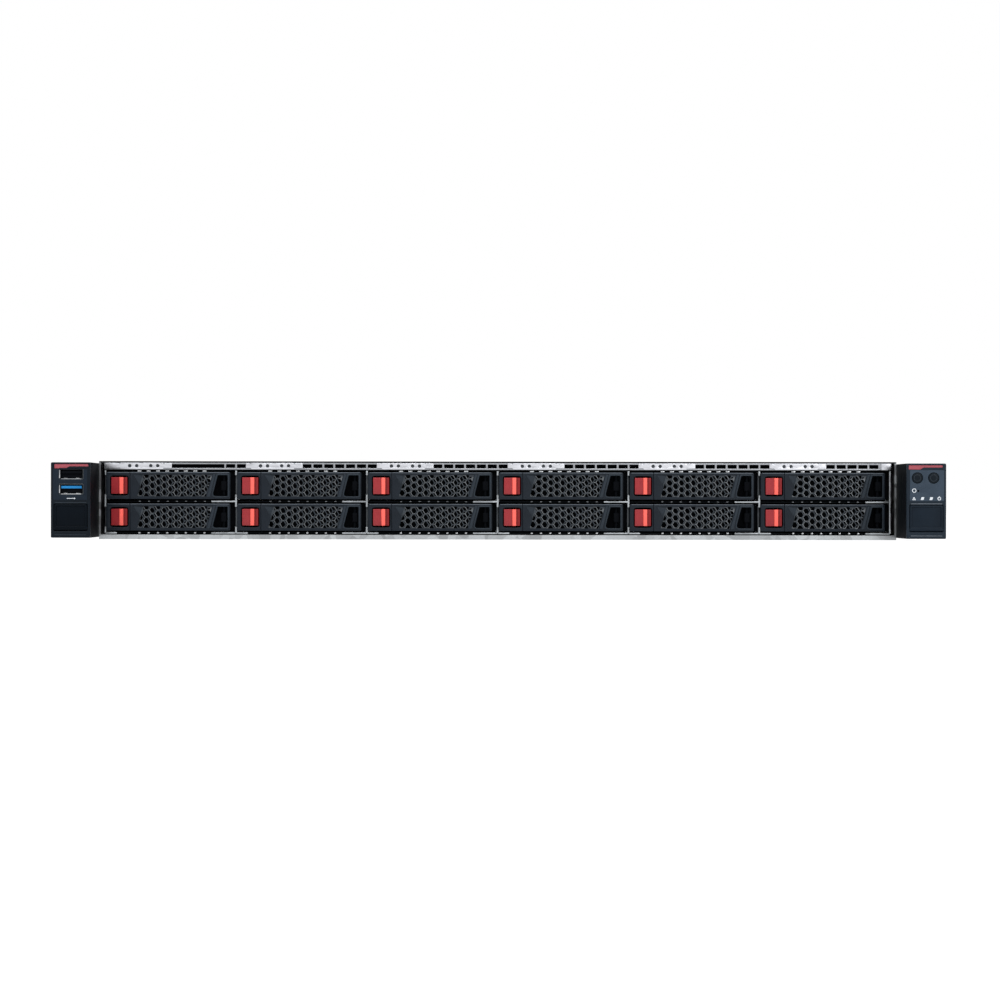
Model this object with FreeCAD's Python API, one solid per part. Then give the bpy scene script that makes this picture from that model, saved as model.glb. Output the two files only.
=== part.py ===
"""1U rack server with twelve front drive bays, as separate pieces in millimetres.

Frame: X to the right seen from the front, Y towards the rear, Z up.
X = 0 is the middle of the chassis, Y = 0 is the rack's mounting plane and
Z = 0 is the underside of the chassis.
"""
import FreeCAD, Part
import math
import os

Vec = FreeCAD.Vector
X_AXIS = Vec(1, 0, 0)
Y_AXIS = Vec(0, 1, 0)
Z_AXIS = Vec(0, 0, 1)

# ---- chassis ---------------------------------------------------------------
VENT_STRIP_HEIGHT = 3.55      # cage's roof to the cover
RACK_WIDTH = 482.6            # across both ears, the 19 inch rack standard
RACK_HOLE_SPAN = 465.1        # between the two columns of rack holes
CHASSIS_WIDTH = 440.0
CHASSIS_LENGTH = 728.0        # front edge to the rear panel's outer face
CHASSIS_SHEET = 1.0
COVER_SHEET = 0.8
HEM_HEIGHT = 2.5              # folded front edge of the pan
RAIL_STUD_RADIUS = 2.5
RAIL_STUD_LENGTH = 2.6
RAIL_STUD_COUNT = 3
RAIL_STUD_PITCH = 260.0
RAIL_STUD_START = 100.0       # first stud behind the rack plane

# ---- drive bays ------------------------------------------------------------
BAY_COLUMNS = 6
BAY_ROWS = 2
DRIVE_WIDTH = 69.85
DRIVE_HEIGHT = 15.0
DRIVE_LENGTH = 100.45
DRIVE_HEADROOM = 1.6          # bay's clear height beyond the drive's
BAY_SIDE_GAP = 0.125          # tray side to divider
CAGE_SHEET = 0.8
DIVIDER_SHEET = 1.0
CAGE_FLOOR_HEIGHT = 3.05      # underside of the cage's floor
VENT_STEPS_PER_BAY = 12        # even steps that the vent strip is divided into
VENT_STEPS_PER_SLOT = 2
VENT_BAR = 1.0                # metal left between two slots
VENT_SLOT_EDGE = 0.55         # metal below and above a slot
PLATE_WIDTH = 31.3            # light-pipe plate
PLATE_EDGE = 0.125            # plate's edges to the ends of the vent strip's height
PLATE_THICKNESS = 0.6
PLATE_INSET = 5.5             # from the divider's middle to the plate

# ---- carrier ---------------------------------------------------------------
FACE_INSET = 0.7              # divider's middle to the face's left edge
FACE_SIDE_GAP = 3.1           # face's right edge to the next divider's middle
FACE_PROUD = 1.0              # face ahead of the cage's front edge
FACE_FOOT_GAP = 0.85          # bay floor and roof to the face
RUNNER_GAP = 0.25             # bay floor to the tray's runners
TRAY_WALL = 0.55
BUTTON_BLOCK_WIDTH = 13.0
BUTTON_WIDTH = 8.8
BUTTON_EDGE = 1.15            # pocket's floor and roof to the button
BUTTON_POCKET_WIDTH = 10.2
BUTTON_POCKET_EDGE = 1.95     # face's lower and upper edges to the pocket
BUTTON_POCKET_DEPTH = 5.5
BUTTON_POCKET_INSET = 2.1     # face's left edge to the pocket
BUTTON_LENGTH = 4.0           # button's body behind the face
BUTTON_RIDGE = 1.0            # ridge ahead of the face
LEVER_GAP = 0.2               # button block to the lever's free end
LEVER_SKIN = 1.6
LEVER_DEPTH = 4.0             # face to the back of the lever's ribs
LEVER_RIB = 1.4
PIN_INSET = 3.6               # lever's right edge to the hinge pin
PIN_RADIUS = 1.0
PIN_GAP = 0.08                # pins to the notches that hold them
PIN_WALL = 1.2                # lever's rib around its pin
CLAW_HEIGHT = 5.0             # bezel's claw that holds the lever's pin
CLAW_WALL = 0.5
BACK_GAP = 0.4                # lever to the bezel's back plate, at rest and swung open
LEVER_SWING = 60.0            # opening angle
BACK_PLATE = 1.7
DRIVE_GAP = 0.3               # bezel's back plate to the drive
CELL_PITCH = 4.9              # honeycomb, middle to middle
CELL_WEB = 0.65
GRILLE_INSET = 3.8            # lever's free end to the grille's lower corner
GRILLE_TO_WINDOW = 4.4        # along the lower edge
GRILLE_EDGE = 1.35            # face's lower and upper edges to the grille
GRILLE_LEAN = 3.6             # sideways lean over the grille's height
WINDOW_INSET = 1.4            # lever's right edge to the window
WINDOW_WIDTH = 7.7            # along the lower edge
WINDOW_EDGE = 1.65            # face's lower and upper edges to the window
WINDOW_LEAN = 3.0

# ---- backplane -------------------------------------------------------------
BACKPLANE_THICKNESS = 2.4
SOCKET_WIDTH = 42.0
SOCKET_HEIGHT = 5.4
SOCKET_LENGTH = 10.5
MATING_GAP = 0.3              # drive to its socket
BACKPLANE_VENT_EDGE = 2.1     # socket to the vent beside it

# ---- ears ------------------------------------------------------------------
EAR_DEPTH = 33.0              # front face ahead of the rack plane
EAR_MARGIN = 1.15             # chassis's underside and top to the ear
FACE_SETBACK = 27.0           # carrier cage behind the ear's front face
EAR_WALL = 1.5
EAR_BRACKET = 1.2
EAR_BRACKET_LENGTH = 70.0
EAR_CORNER = 1.2
DOOR_HEIGHT = 14.2
DOOR_RISE = 3.9               # ear's lower edge to the door's lower edge
DOOR_THICKNESS = 2.0
DOOR_GAP = 0.25
DOOR_BARREL = 1.1             # round lower edge, which runs on as pins at both ends
PIN_OVERHANG = 1.0            # pin ends beyond a door or tab
SCREW_RADIUS = 2.5
SCREW_HEIGHT = 12.2           # above the chassis's underside
SCREW_HEAD_RADIUS = 4.0
SCREW_HEAD_LENGTH = 5.0
SCREW_REACH = 8.0             # shank behind the rack plane
SCREW_NECK = 3.2              # across the neck that the bracket keeps captive
SCREW_GAP = 0.25
USB_WIDTH = 13.1
USB_HEIGHT = 5.7
USB_DEPTH = 14.0
USB_SHELL = 0.3
USB_OFFSET = 10.25            # chassis side to the socket's middle
USB_INSET = 6.35              # ear's top to the upper socket's middle
USB_PITCH = 8.1
USB_TONGUE_WIDTH = 11.0
USB_TONGUE_HEIGHT = 1.9
KEY_RADIUS = 2.85             # round push buttons
KEY_GAP = 0.2
KEY_LENGTH = 4.0
KEY_TRAVEL = 0.8
KEY_INSET = 7.85              # ear's top to the buttons' middle
POWER_KEY_OFFSET = 14.5       # chassis side to the button's middle
IDENT_KEY_OFFSET = 5.7

# ---- inside ----------------------------------------------------------------
FAN_COUNT = 6
FAN_HEADROOM = 1.2            # fan to the cover
FAN_LENGTH = 56.0
FAN_SIDE_GAP = 22.5           # chassis side to the outermost fan
FAN_START = 172.0             # chassis front edge to the fans
FAN_FRAME = 1.2               # fan's side to the corners of the many-sided duct
ROTOR_GAP = 0.5
ROTOR_TIP_GAP = 0.8
HUB_RADIUS = 8.5
ROUND_SIDES = 10              # flat sides that stand for a round duct or hub
ROTOR_LENGTH = 24.0
BLADE_COUNT = 5
BLADE_THICKNESS = 1.2
BLADE_PITCH_ANGLE = 38.0
STRUT_WIDTH = 6.0             # upright bar that carries the motor
STRUT_LENGTH = 5.0
BOARD_THICKNESS = 1.6
BOARD_STANDOFF = 5.0
FAN_TO_BOARD = 12.0           # fans to the mainboard
BOARD_SIDE_GAP = 4.0
HEATSINK_WIDTH = 78.0
HEATSINK_LENGTH = 108.0
HEATSINK_HEIGHT = 25.0
HEATSINK_BASE = 4.0
HEATSINK_FINS = 6
FIN_THICKNESS = 1.6
HEATSINK_OFFSET = 107.0
MEMORY_LENGTH = 133.0
MEMORY_HEIGHT = 30.0
MEMORY_THICKNESS = 4.0
MEMORY_PITCH = 8.0
MEMORY_PER_BANK = 4
MEMORY_GAP = 7.0              # heat sink to the first module
SOCKETS_START = 40.0          # board's front edge to processors and memory

# ---- rear ------------------------------------------------------------------
SUPPLY_WIDTH = 73.5
SUPPLY_HEADROOM = 1.9         # supply to the cover
SUPPLY_LENGTH = 185.0
SUPPLY_GAP = 0.3              # supply to its opening and to the pan
SUPPLY_SPACING = 2.0
SUPPLY_SIDE_GAP = 1.5
PANEL_MARGIN = 4.0            # slot or supply opening to the joint between two rear panels
INLET_WIDTH = 24.5
INLET_HEIGHT = 17.0
INLET_DEPTH = 14.0
INLET_INSET = 6.0
HANDLE_INSET = 6.0            # inlet to the handle
HANDLE_REACH = 22.0
HANDLE_WIDTH = 10.0
HANDLE_HEIGHT = 30.0
HANDLE_BAR = 2.4
TAB_THICKNESS = 2.4
TAB_HEIGHT = 9.0
TAB_REACH = 15.0
TAB_ROOT = 12.0               # length inside the supply
TAB_SLOT_GAP = 1.0
TAB_SIDE_GAP = 0.3
TAB_SWING = 3.0               # room for the tab to swing towards the handle
JACK_WIDTH = 15.9
JACK_HEIGHT = 13.2
JACK_DEPTH = 21.0
JACK_WALL = 1.2
JACK_COUNT = 3
JACK_PITCH = 18.0
JACK_TO_VIDEO = 48.0          # last jack to the video port, middle to middle
PORT_GAP = 0.2                # port shells to the rear panel's cut-outs
VIDEO_WIDTH = 31.0
VIDEO_HEIGHT = 12.5
VIDEO_DEPTH = 12.0
VIDEO_TO_SUPPLY = 44.5        # video port's middle to the nearest supply
SLOT_SIDE_GAP = 13.0          # chassis side to the expansion slots
SLOT_TO_JACK = 29.0           # expansion slots to the first jack's middle
SLOT_HEIGHT = 12.4
SLOT_PITCH = 17.6
SLOT_COUNT = 2
SLOT_RISE = 7.0
SLOT_COVER_LAP = 1.6
REAR_VENT_WIDTH = 118.0
REAR_VENT_HEIGHT = 12.0
REAR_VENT_TO_VIDEO = 44.0     # vent row's middle to the video port's
REAR_VENT_RISE = 25.5
REAR_VENT_BARS = 5

# ---- cover latch -----------------------------------------------------------
LATCH_WIDTH = 28.0
LATCH_LENGTH = 62.0
LATCH_THICKNESS = 3.0
LATCH_START = 440.0           # chassis front edge to the latch well
WELL_DEPTH = 5.6
WELL_GAP = 0.6
WELL_FINGER = 11.0            # free length for a finger
COVER_FLANGE = 6.0
COVER_SIDE_GAP = 0.2

# ---- places worked out from the sizes above ----------------------------------
FRONT_Y = FACE_SETBACK - EAR_DEPTH
REAR_Y = FRONT_Y + CHASSIS_LENGTH
COLUMN_PITCH = DRIVE_WIDTH + 2 * TRAY_WALL + 2 * BAY_SIDE_GAP + DIVIDER_SHEET
BAY_HEIGHT = DRIVE_HEIGHT + DRIVE_HEADROOM
ROW_PITCH = BAY_HEIGHT + CAGE_SHEET
CAGE_WIDTH = BAY_COLUMNS * COLUMN_PITCH + DIVIDER_SHEET
SIDE_X = CHASSIS_WIDTH / 2
FIRST_DIVIDER_X = -BAY_COLUMNS * COLUMN_PITCH / 2
BAY_FLOOR_Z = CAGE_FLOOR_HEIGHT + CAGE_SHEET
ROOF_Z = BAY_FLOOR_Z + BAY_ROWS * ROW_PITCH
COVER_Z = ROOF_Z + VENT_STRIP_HEIGHT
CHASSIS_HEIGHT = COVER_Z + COVER_SHEET
VENT_SLOT_HEIGHT = VENT_STRIP_HEIGHT - 2 * VENT_SLOT_EDGE
PLATE_HEIGHT = VENT_STRIP_HEIGHT - 2 * PLATE_EDGE
SLOT_STEP = COLUMN_PITCH / VENT_STEPS_PER_BAY
FACE_RIGHT = COLUMN_PITCH - FACE_SIDE_GAP
FACE_HEIGHT = BAY_HEIGHT - 2 * FACE_FOOT_GAP
FACE_MIDDLE_Z = BAY_HEIGHT / 2
BUTTON_POCKET_HEIGHT = FACE_HEIGHT - 2 * BUTTON_POCKET_EDGE
BUTTON_HEIGHT = BUTTON_POCKET_HEIGHT - 2 * BUTTON_EDGE
GRILLE_HEIGHT = FACE_HEIGHT - 2 * GRILLE_EDGE
WINDOW_HEIGHT = FACE_HEIGHT - 2 * WINDOW_EDGE
LEVER_LEFT = FACE_INSET + BUTTON_BLOCK_WIDTH + LEVER_GAP
GRILLE_LENGTH = (FACE_RIGHT - WINDOW_INSET - WINDOW_WIDTH - GRILLE_TO_WINDOW
                 - LEVER_LEFT - GRILLE_INSET)
LEVER_BACK_Y = LEVER_DEPTH - FACE_PROUD
PIN_X = FACE_RIGHT - PIN_INSET
PIN_Y = LEVER_BACK_Y - PIN_WALL
SKIN_TO_PIN = PIN_Y + FACE_PROUD - LEVER_SKIN
SWUNG_EDGE = (PIN_INSET * math.sin(math.radians(LEVER_SWING))
              - SKIN_TO_PIN * math.cos(math.radians(LEVER_SWING)))
BACK_PLATE_Y = PIN_Y + max(math.hypot(PIN_WALL, PIN_WALL), SWUNG_EDGE) + BACK_GAP
TRAY_Y = BACK_PLATE_Y + BACK_PLATE
DRIVE_Y = TRAY_Y + DRIVE_GAP
DRIVE_END_Y = DRIVE_Y + DRIVE_LENGTH
CAGE_REAR_Y = FRONT_Y + DRIVE_END_Y + MATING_GAP + SOCKET_LENGTH
BACKPLANE_VENT = COLUMN_PITCH - SOCKET_WIDTH - 2 * BACKPLANE_VENT_EDGE
TRAY_LEFT = DIVIDER_SHEET / 2 + BAY_SIDE_GAP
TRAY_RIGHT = TRAY_LEFT + DRIVE_WIDTH + 2 * TRAY_WALL
BUTTON_X = FACE_INSET + BUTTON_POCKET_INSET + BUTTON_POCKET_WIDTH / 2
POCKET_BACK_Y = BUTTON_POCKET_DEPTH - FACE_PROUD
EAR_TOP = CHASSIS_HEIGHT - EAR_MARGIN
EAR_WIDTH = (RACK_WIDTH - CHASSIS_WIDTH) / 2
SCREW_OFFSET = (RACK_HOLE_SPAN - CHASSIS_WIDTH) / 2
USB_UPPER = EAR_TOP - USB_INSET
USB_LOWER = USB_UPPER - USB_PITCH
KEY_HEIGHT = EAR_TOP - KEY_INSET
DOOR_Z = EAR_MARGIN + DOOR_RISE
DOOR_PIN_Z = DOOR_Z + DOOR_BARREL
DOOR_PIN_Y = DOOR_BARREL - EAR_DEPTH
BOARD_START = FAN_START + FAN_LENGTH + FAN_TO_BOARD
BOARD_Z = CHASSIS_SHEET + BOARD_STANDOFF
BOARD_TOP = BOARD_Z + BOARD_THICKNESS
SUPPLY_FRONT_Y = REAR_Y - SUPPLY_LENGTH
SUPPLY_X = [
    SIDE_X - CHASSIS_SHEET - SUPPLY_SIDE_GAP - SUPPLY_WIDTH / 2,
    SIDE_X - CHASSIS_SHEET - SUPPLY_SIDE_GAP - SUPPLY_WIDTH * 1.5 - SUPPLY_SPACING,
]
SUPPLY_Z = CHASSIS_SHEET + SUPPLY_GAP
SUPPLY_HEIGHT = COVER_Z - SUPPLY_Z - SUPPLY_HEADROOM
VIDEO_MIDDLE = SUPPLY_X[1] - SUPPLY_WIDTH / 2 - VIDEO_TO_SUPPLY
JACK_START = VIDEO_MIDDLE - JACK_TO_VIDEO - (JACK_COUNT - 1) * JACK_PITCH
REAR_VENT_MIDDLE = VIDEO_MIDDLE - REAR_VENT_TO_VIDEO
SLOT_EDGES = (SLOT_SIDE_GAP - SIDE_X, JACK_START - SLOT_TO_JACK)
FAN_Y = FRONT_Y + FAN_START
FAN_SIZE = COVER_Z - CHASSIS_SHEET - FAN_HEADROOM
FAN_BORE_RADIUS = FAN_SIZE / 2 - FAN_FRAME
FAN_PITCH = (2 * (SIDE_X - FAN_SIDE_GAP) - FAN_SIZE) / (FAN_COUNT - 1)
FAN_AXIS_Z = CHASSIS_SHEET + FAN_SIZE / 2
STRUT_Y = FAN_Y + FAN_LENGTH - STRUT_LENGTH
WELL_HALF = LATCH_WIDTH / 2 + WELL_GAP
WELL_Y = FRONT_Y + LATCH_START
WELL_END_Y = WELL_Y + LATCH_LENGTH + WELL_FINGER
LATCH_TOP = CHASSIS_HEIGHT - WELL_GAP / 2
LATCH_BARREL = LATCH_THICKNESS / 2
LATCH_PIN_Y = WELL_Y + WELL_GAP + LATCH_BARREL
LATCH_PIN_Z = LATCH_TOP - LATCH_BARREL
TAB_X = SUPPLY_WIDTH / 2 - TAB_SLOT_GAP - TAB_THICKNESS / 2
TAB_Z = SUPPLY_Z + SUPPLY_HEIGHT / 2


# ---- shape helpers ---------------------------------------------------------
def block(x, y, z):
    """Return a box from three (low, high) pairs."""
    return Part.makeBox(x[1] - x[0], y[1] - y[0], z[1] - z[0], Vec(x[0], y[0], z[0]))


def prism(points, direction):
    """Extrude a closed polygon of points along a direction."""
    return Part.Face(Part.makePolygon(points + points[:1])).extrude(direction)


def rod(radius, base, direction):
    """Return a cylinder from a base point along a direction vector."""
    return Part.makeCylinder(radius, direction.Length, base, direction)


def joined(shapes):
    """Fuse shapes into one solid with its seams removed."""
    return shapes[0].multiFuse(shapes[1:]).removeSplitter()


def group(shapes):
    """Keep separate solids together in one node."""
    return Part.Compound(shapes)


def moved(shape, x=0.0, y=0.0, z=0.0):
    """Return a copy of a shape shifted by the given distances."""
    copy = shape.copy()
    copy.translate(Vec(x, y, z))
    return copy


def upright_edges(shape, low, high):
    """Return the straight edges along Y whose middle lies between two X, Z corners."""
    edges = []
    for edge in shape.Edges:
        run = edge.Vertexes[-1].Point - edge.Vertexes[0].Point
        middle = edge.CenterOfMass
        along_y = abs(run.y) > 0.9 * max(run.Length, 1e-6)
        if along_y and low[0] <= middle.x <= high[0] and low[1] <= middle.z <= high[1]:
            edges.append(edge)
    return edges


def save(name, shape):
    """Write one node to its own file."""
    shape.exportStep("parts/" + name + ".step")


def divider_x(column):
    """Return the middle of the divider on a column's left side."""
    return FIRST_DIVIDER_X + column * COLUMN_PITCH


def bays():
    """Yield number, divider X and floor Z of each bay, left to right, upper row first."""
    number = 1
    for row in reversed(range(BAY_ROWS)):
        for column in range(BAY_COLUMNS):
            yield number, divider_x(column), BAY_FLOOR_Z + row * ROW_PITCH
            number += 1


# ---- chassis ---------------------------------------------------------------
def rear_slots():
    """Return the middle heights of the expansion slots."""
    return [CHASSIS_SHEET + SLOT_RISE + SLOT_HEIGHT / 2 + i * SLOT_PITCH for i in range(SLOT_COUNT)]


def rear_cutters():
    """Return the openings cut through the rear panel."""
    depth = (REAR_Y - 2 * CHASSIS_SHEET, REAR_Y + CHASSIS_SHEET)
    cutters = []
    for x in SUPPLY_X:
        half = SUPPLY_WIDTH / 2 + SUPPLY_GAP
        top = SUPPLY_Z + SUPPLY_HEIGHT + SUPPLY_GAP
        cutters.append(block((x - half, x + half), depth, (CHASSIS_SHEET, top)))
    for z in rear_slots():
        cutters.append(block(SLOT_EDGES, depth, (z - SLOT_HEIGHT / 2, z + SLOT_HEIGHT / 2)))
    for i in range(JACK_COUNT):
        x = JACK_START + i * JACK_PITCH
        half = JACK_WIDTH / 2 + PORT_GAP
        cutters.append(block((x - half, x + half), depth,
                             (BOARD_TOP - PORT_GAP, BOARD_TOP + JACK_HEIGHT + PORT_GAP)))
    half = VIDEO_WIDTH / 2 + PORT_GAP
    cutters.append(block((VIDEO_MIDDLE - half, VIDEO_MIDDLE + half), depth,
                         (BOARD_TOP - PORT_GAP, BOARD_TOP + VIDEO_HEIGHT + PORT_GAP)))
    step = REAR_VENT_WIDTH / REAR_VENT_BARS
    for i in range(REAR_VENT_BARS):
        left = REAR_VENT_MIDDLE - REAR_VENT_WIDTH / 2 + i * step
        cutters.append(block((left + VENT_BAR, left + step - VENT_BAR), depth,
                             (REAR_VENT_RISE, REAR_VENT_RISE + REAR_VENT_HEIGHT)))
    return cutters


def board_corners():
    """Return the mainboard's outline: full width in front, beside the supplies behind."""
    left = BOARD_SIDE_GAP - SIDE_X
    right = SIDE_X - BOARD_SIDE_GAP
    waist = SUPPLY_X[1] - SUPPLY_WIDTH / 2 - BOARD_SIDE_GAP
    front = FRONT_Y + BOARD_START
    step = SUPPLY_FRONT_Y - BOARD_SIDE_GAP
    rear = REAR_Y - CHASSIS_SHEET - BOARD_SIDE_GAP
    return [(left, front), (right, front), (right, step), (waist, step), (waist, rear), (left, rear)]


def rear_panels():
    """Three rear panels side by side: expansion slots, ports and power supplies."""
    inner = SIDE_X - CHASSIS_SHEET
    port_left = SLOT_EDGES[1] + PANEL_MARGIN
    supply_left = SUPPLY_X[1] - SUPPLY_WIDTH / 2 - PANEL_MARGIN
    edges = [-inner, port_left, supply_left, inner]
    depth = (REAR_Y - CHASSIS_SHEET, REAR_Y)
    cutters = rear_cutters()
    return [block((left, right), depth, (CHASSIS_SHEET, COVER_Z)).cut(cutters).removeSplitter()
            for left, right in zip(edges, edges[1:])]


def chassis_base():
    """Pan floor, side walls, folded front hem, rear panels, board bosses and rail studs."""
    sheet = CHASSIS_SHEET
    solids = [
        block((-SIDE_X, SIDE_X), (FRONT_Y, REAR_Y), (0, sheet)),
        block((sheet - SIDE_X, SIDE_X - sheet), (FRONT_Y, FRONT_Y + sheet), (sheet, HEM_HEIGHT)),
    ]
    for side in (-1, 1):
        outer = side * SIDE_X
        solids.append(block(sorted((side * (SIDE_X - sheet), outer)), (FRONT_Y, REAR_Y), (sheet, COVER_Z)))
        for i in range(RAIL_STUD_COUNT):
            y = RAIL_STUD_START + i * RAIL_STUD_PITCH
            solids.append(rod(RAIL_STUD_RADIUS, Vec(outer, y, CHASSIS_HEIGHT / 2), X_AXIS * side * RAIL_STUD_LENGTH))
    for x, y in board_corners():
        inward = -math.copysign(BOARD_STANDOFF, x)
        back = BOARD_STANDOFF if y < SUPPLY_FRONT_Y - BOARD_STANDOFF * 2 else -BOARD_STANDOFF
        solids.append(block(sorted((x, x + inward)), sorted((y, y + back)), (sheet, BOARD_Z)))
    return group(solids + rear_panels())


# ---- drive cage ------------------------------------------------------------
def vent_slots(column):
    """Return the (first, last) steps of each open slot in one column's vent strip."""
    last = VENT_STEPS_PER_BAY - 1
    beside_plate = math.ceil((PLATE_INSET + PLATE_WIDTH - VENT_BAR) / SLOT_STEP)
    if column == 0:
        return [(0, 0), (beside_plate, last - 1), (last, last)]
    end = last - 1 if column == BAY_COLUMNS - 1 else last
    pairs = [(i, min(i + VENT_STEPS_PER_SLOT - 1, end)) for i in range(beside_plate, end + 1, VENT_STEPS_PER_SLOT)]
    return [(0, 0)] + pairs


def vent_cutters():
    """Return the slots of the vent strip above all bays."""
    low = ROOF_Z + VENT_SLOT_EDGE
    depth = (FRONT_Y - CAGE_SHEET, FRONT_Y + 2 * CAGE_SHEET)
    cutters = []
    for column in range(BAY_COLUMNS):
        for first, last in vent_slots(column):
            left = divider_x(column) + first * SLOT_STEP + VENT_BAR / 2
            right = divider_x(column) + (last + 1) * SLOT_STEP - VENT_BAR / 2
            cutters.append(block((left, right), depth, (low, low + VENT_SLOT_HEIGHT)))
    return cutters


def drive_cage():
    """Riveted sheet cage: floor, shelf, roof, dividers in both rows and the slotted vent strip."""
    half = CAGE_WIDTH / 2
    thick = DIVIDER_SHEET / 2
    depth = (FRONT_Y, CAGE_REAR_Y)
    solids = []
    for row in range(BAY_ROWS + 1):
        z = CAGE_FLOOR_HEIGHT + row * ROW_PITCH
        solids.append(block((-half, half), depth, (z, z + CAGE_SHEET)))
    for column in range(BAY_COLUMNS + 1):
        x = (divider_x(column) - thick, divider_x(column) + thick)
        for row in range(BAY_ROWS):
            floor = BAY_FLOOR_Z + row * ROW_PITCH
            solids.append(block(x, depth, (floor, floor + BAY_HEIGHT)))
        if column in (0, BAY_COLUMNS):
            solids.append(block(x, (FRONT_Y + CHASSIS_SHEET, CAGE_REAR_Y), (CHASSIS_SHEET, CAGE_FLOOR_HEIGHT)))
    strip = block((-half, half), (FRONT_Y, FRONT_Y + CAGE_SHEET), (ROOF_Z, COVER_Z))
    return group(solids + [strip.cut(vent_cutters()).removeSplitter()])


def light_pipe_plates():
    """One bright plate per column on the vent strip, stepped down at both ends."""
    low = ROOF_Z + PLATE_EDGE
    front = FRONT_Y - PLATE_THICKNESS
    shoulder = SLOT_STEP / 2
    step = PLATE_HEIGHT / 4
    plates = []
    for column in range(BAY_COLUMNS):
        left = divider_x(column) + PLATE_INSET
        right = left + PLATE_WIDTH
        top = low + PLATE_HEIGHT
        outline = [
            Vec(left, front, low + step), Vec(left + shoulder, front, low + step),
            Vec(left + shoulder, front, low), Vec(right - shoulder, front, low),
            Vec(right - shoulder, front, low + step), Vec(right, front, low + step),
            Vec(right, front, top), Vec(left, front, top),
        ]
        plates.append(prism(outline, Y_AXIS * PLATE_THICKNESS))
    return group(plates)


# ---- carrier, drawn in its own bay: X from the divider, Y from the cage front, Z from the floor
def face_z(offset):
    """Return a height measured from the face's middle."""
    return FACE_MIDDLE_Z + offset


def claw():
    """Return the bezel's claw: a finger closed round the middle of the lever's pin."""
    notch = PIN_RADIUS + PIN_GAP
    half = notch + CLAW_WALL
    z = (face_z(-CLAW_HEIGHT / 2), face_z(CLAW_HEIGHT / 2))
    finger = block((PIN_X - half, PIN_X + half), (PIN_Y - half, BACK_PLATE_Y), z)
    return finger.cut(block((PIN_X - notch, PIN_X + notch), (PIN_Y - notch, PIN_Y + notch), z))


def carrier_bezel():
    """Button block, back plate with its air window and the claw for the lever's pin."""
    low = face_z(-FACE_HEIGHT / 2)
    high = face_z(FACE_HEIGHT / 2)
    block_right = FACE_INSET + BUTTON_BLOCK_WIDTH
    half_height = BUTTON_POCKET_HEIGHT / 2
    half_width = BUTTON_POCKET_WIDTH / 2
    bezel = joined([
        block((FACE_INSET, block_right), (-FACE_PROUD, TRAY_Y), (low, high)),
        block((TRAY_LEFT, TRAY_RIGHT), (BACK_PLATE_Y, TRAY_Y), (low, high)),
        claw(),
    ])
    pocket = block((BUTTON_X - half_width, BUTTON_X + half_width), (-FACE_PROUD, POCKET_BACK_Y),
                   (face_z(-half_height), face_z(half_height)))
    return bezel.cut([pocket, air_window()]).removeSplitter()


def air_window():
    """Opening behind the grille, through the bezel's back plate."""
    left = LEVER_LEFT + GRILLE_INSET
    right = left + GRILLE_LENGTH + GRILLE_LEAN
    half = WINDOW_HEIGHT / 2
    return block((left, right), (BACK_PLATE_Y - BACK_GAP, DRIVE_Y), (face_z(-half), face_z(half)))


def tray_rails():
    """Steel side rails from the bezel to the drive's end, running on the bay floor."""
    top = FACE_FOOT_GAP + DRIVE_HEIGHT
    left = block((TRAY_LEFT, TRAY_LEFT + TRAY_WALL), (TRAY_Y, DRIVE_END_Y), (RUNNER_GAP, top))
    return [left, moved(left, x=DRIVE_WIDTH + TRAY_WALL)]


def drive():
    """Drive body between the tray's side rails."""
    left = TRAY_LEFT + TRAY_WALL
    low = face_z(-DRIVE_HEIGHT / 2)
    return block((left, left + DRIVE_WIDTH), (DRIVE_Y, DRIVE_END_Y), (low, low + DRIVE_HEIGHT))


def release_button():
    """Press button: long ramp, sharp ridge and a flat beside it."""
    low = face_z(-BUTTON_HEIGHT / 2)
    left = BUTTON_X - BUTTON_WIDTH / 2
    right = left + BUTTON_WIDTH
    front = -FACE_PROUD
    back = BUTTON_LENGTH - FACE_PROUD
    ridge = front - BUTTON_RIDGE
    profile = [
        Vec(left, back, low), Vec(left, front + BUTTON_RIDGE / 2, low),
        Vec(left + BUTTON_WIDTH * 0.58, front - BUTTON_RIDGE / 2, low),
        Vec(left + BUTTON_WIDTH * 0.72, ridge, low), Vec(left + BUTTON_WIDTH * 0.8, ridge, low),
        Vec(left + BUTTON_WIDTH * 0.84, front, low), Vec(right, front, low), Vec(right, back, low),
    ]
    return prism(profile, Z_AXIS * BUTTON_HEIGHT)


def honeycomb_cells():
    """Return the hexagonal cutters that fit whole inside the leaning grille field."""
    radius = (CELL_PITCH - CELL_WEB) / math.sqrt(3)
    spacing = CELL_PITCH * math.sqrt(3) / 2
    half = GRILLE_HEIGHT / 2
    middle = LEVER_LEFT + GRILLE_INSET + GRILLE_LENGTH / 2 + GRILLE_LEAN / 2
    columns = int((GRILLE_LENGTH + GRILLE_LEAN) / spacing) + 1
    rows = int(GRILLE_HEIGHT / CELL_PITCH) + 1
    cells = []
    for i in range(columns):
        across = (i - (columns - 1) / 2) * spacing
        shift = CELL_PITCH / 2 if i % 2 else 0.0
        for j in range(-rows, rows + 1):
            up = j * CELL_PITCH + shift
            corners = [(across + radius * math.cos(math.radians(60 * k)),
                        up + radius * math.sin(math.radians(60 * k))) for k in range(6)]
            field = [abs(x - GRILLE_LEAN * z / GRILLE_HEIGHT) <= GRILLE_LENGTH / 2 and abs(z) <= half
                     for x, z in corners]
            if all(field):
                outline = [Vec(middle + x, -2 * FACE_PROUD, face_z(z)) for x, z in corners]
                cells.append(prism(outline, Y_AXIS * LEVER_DEPTH))
    return cells


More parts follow.
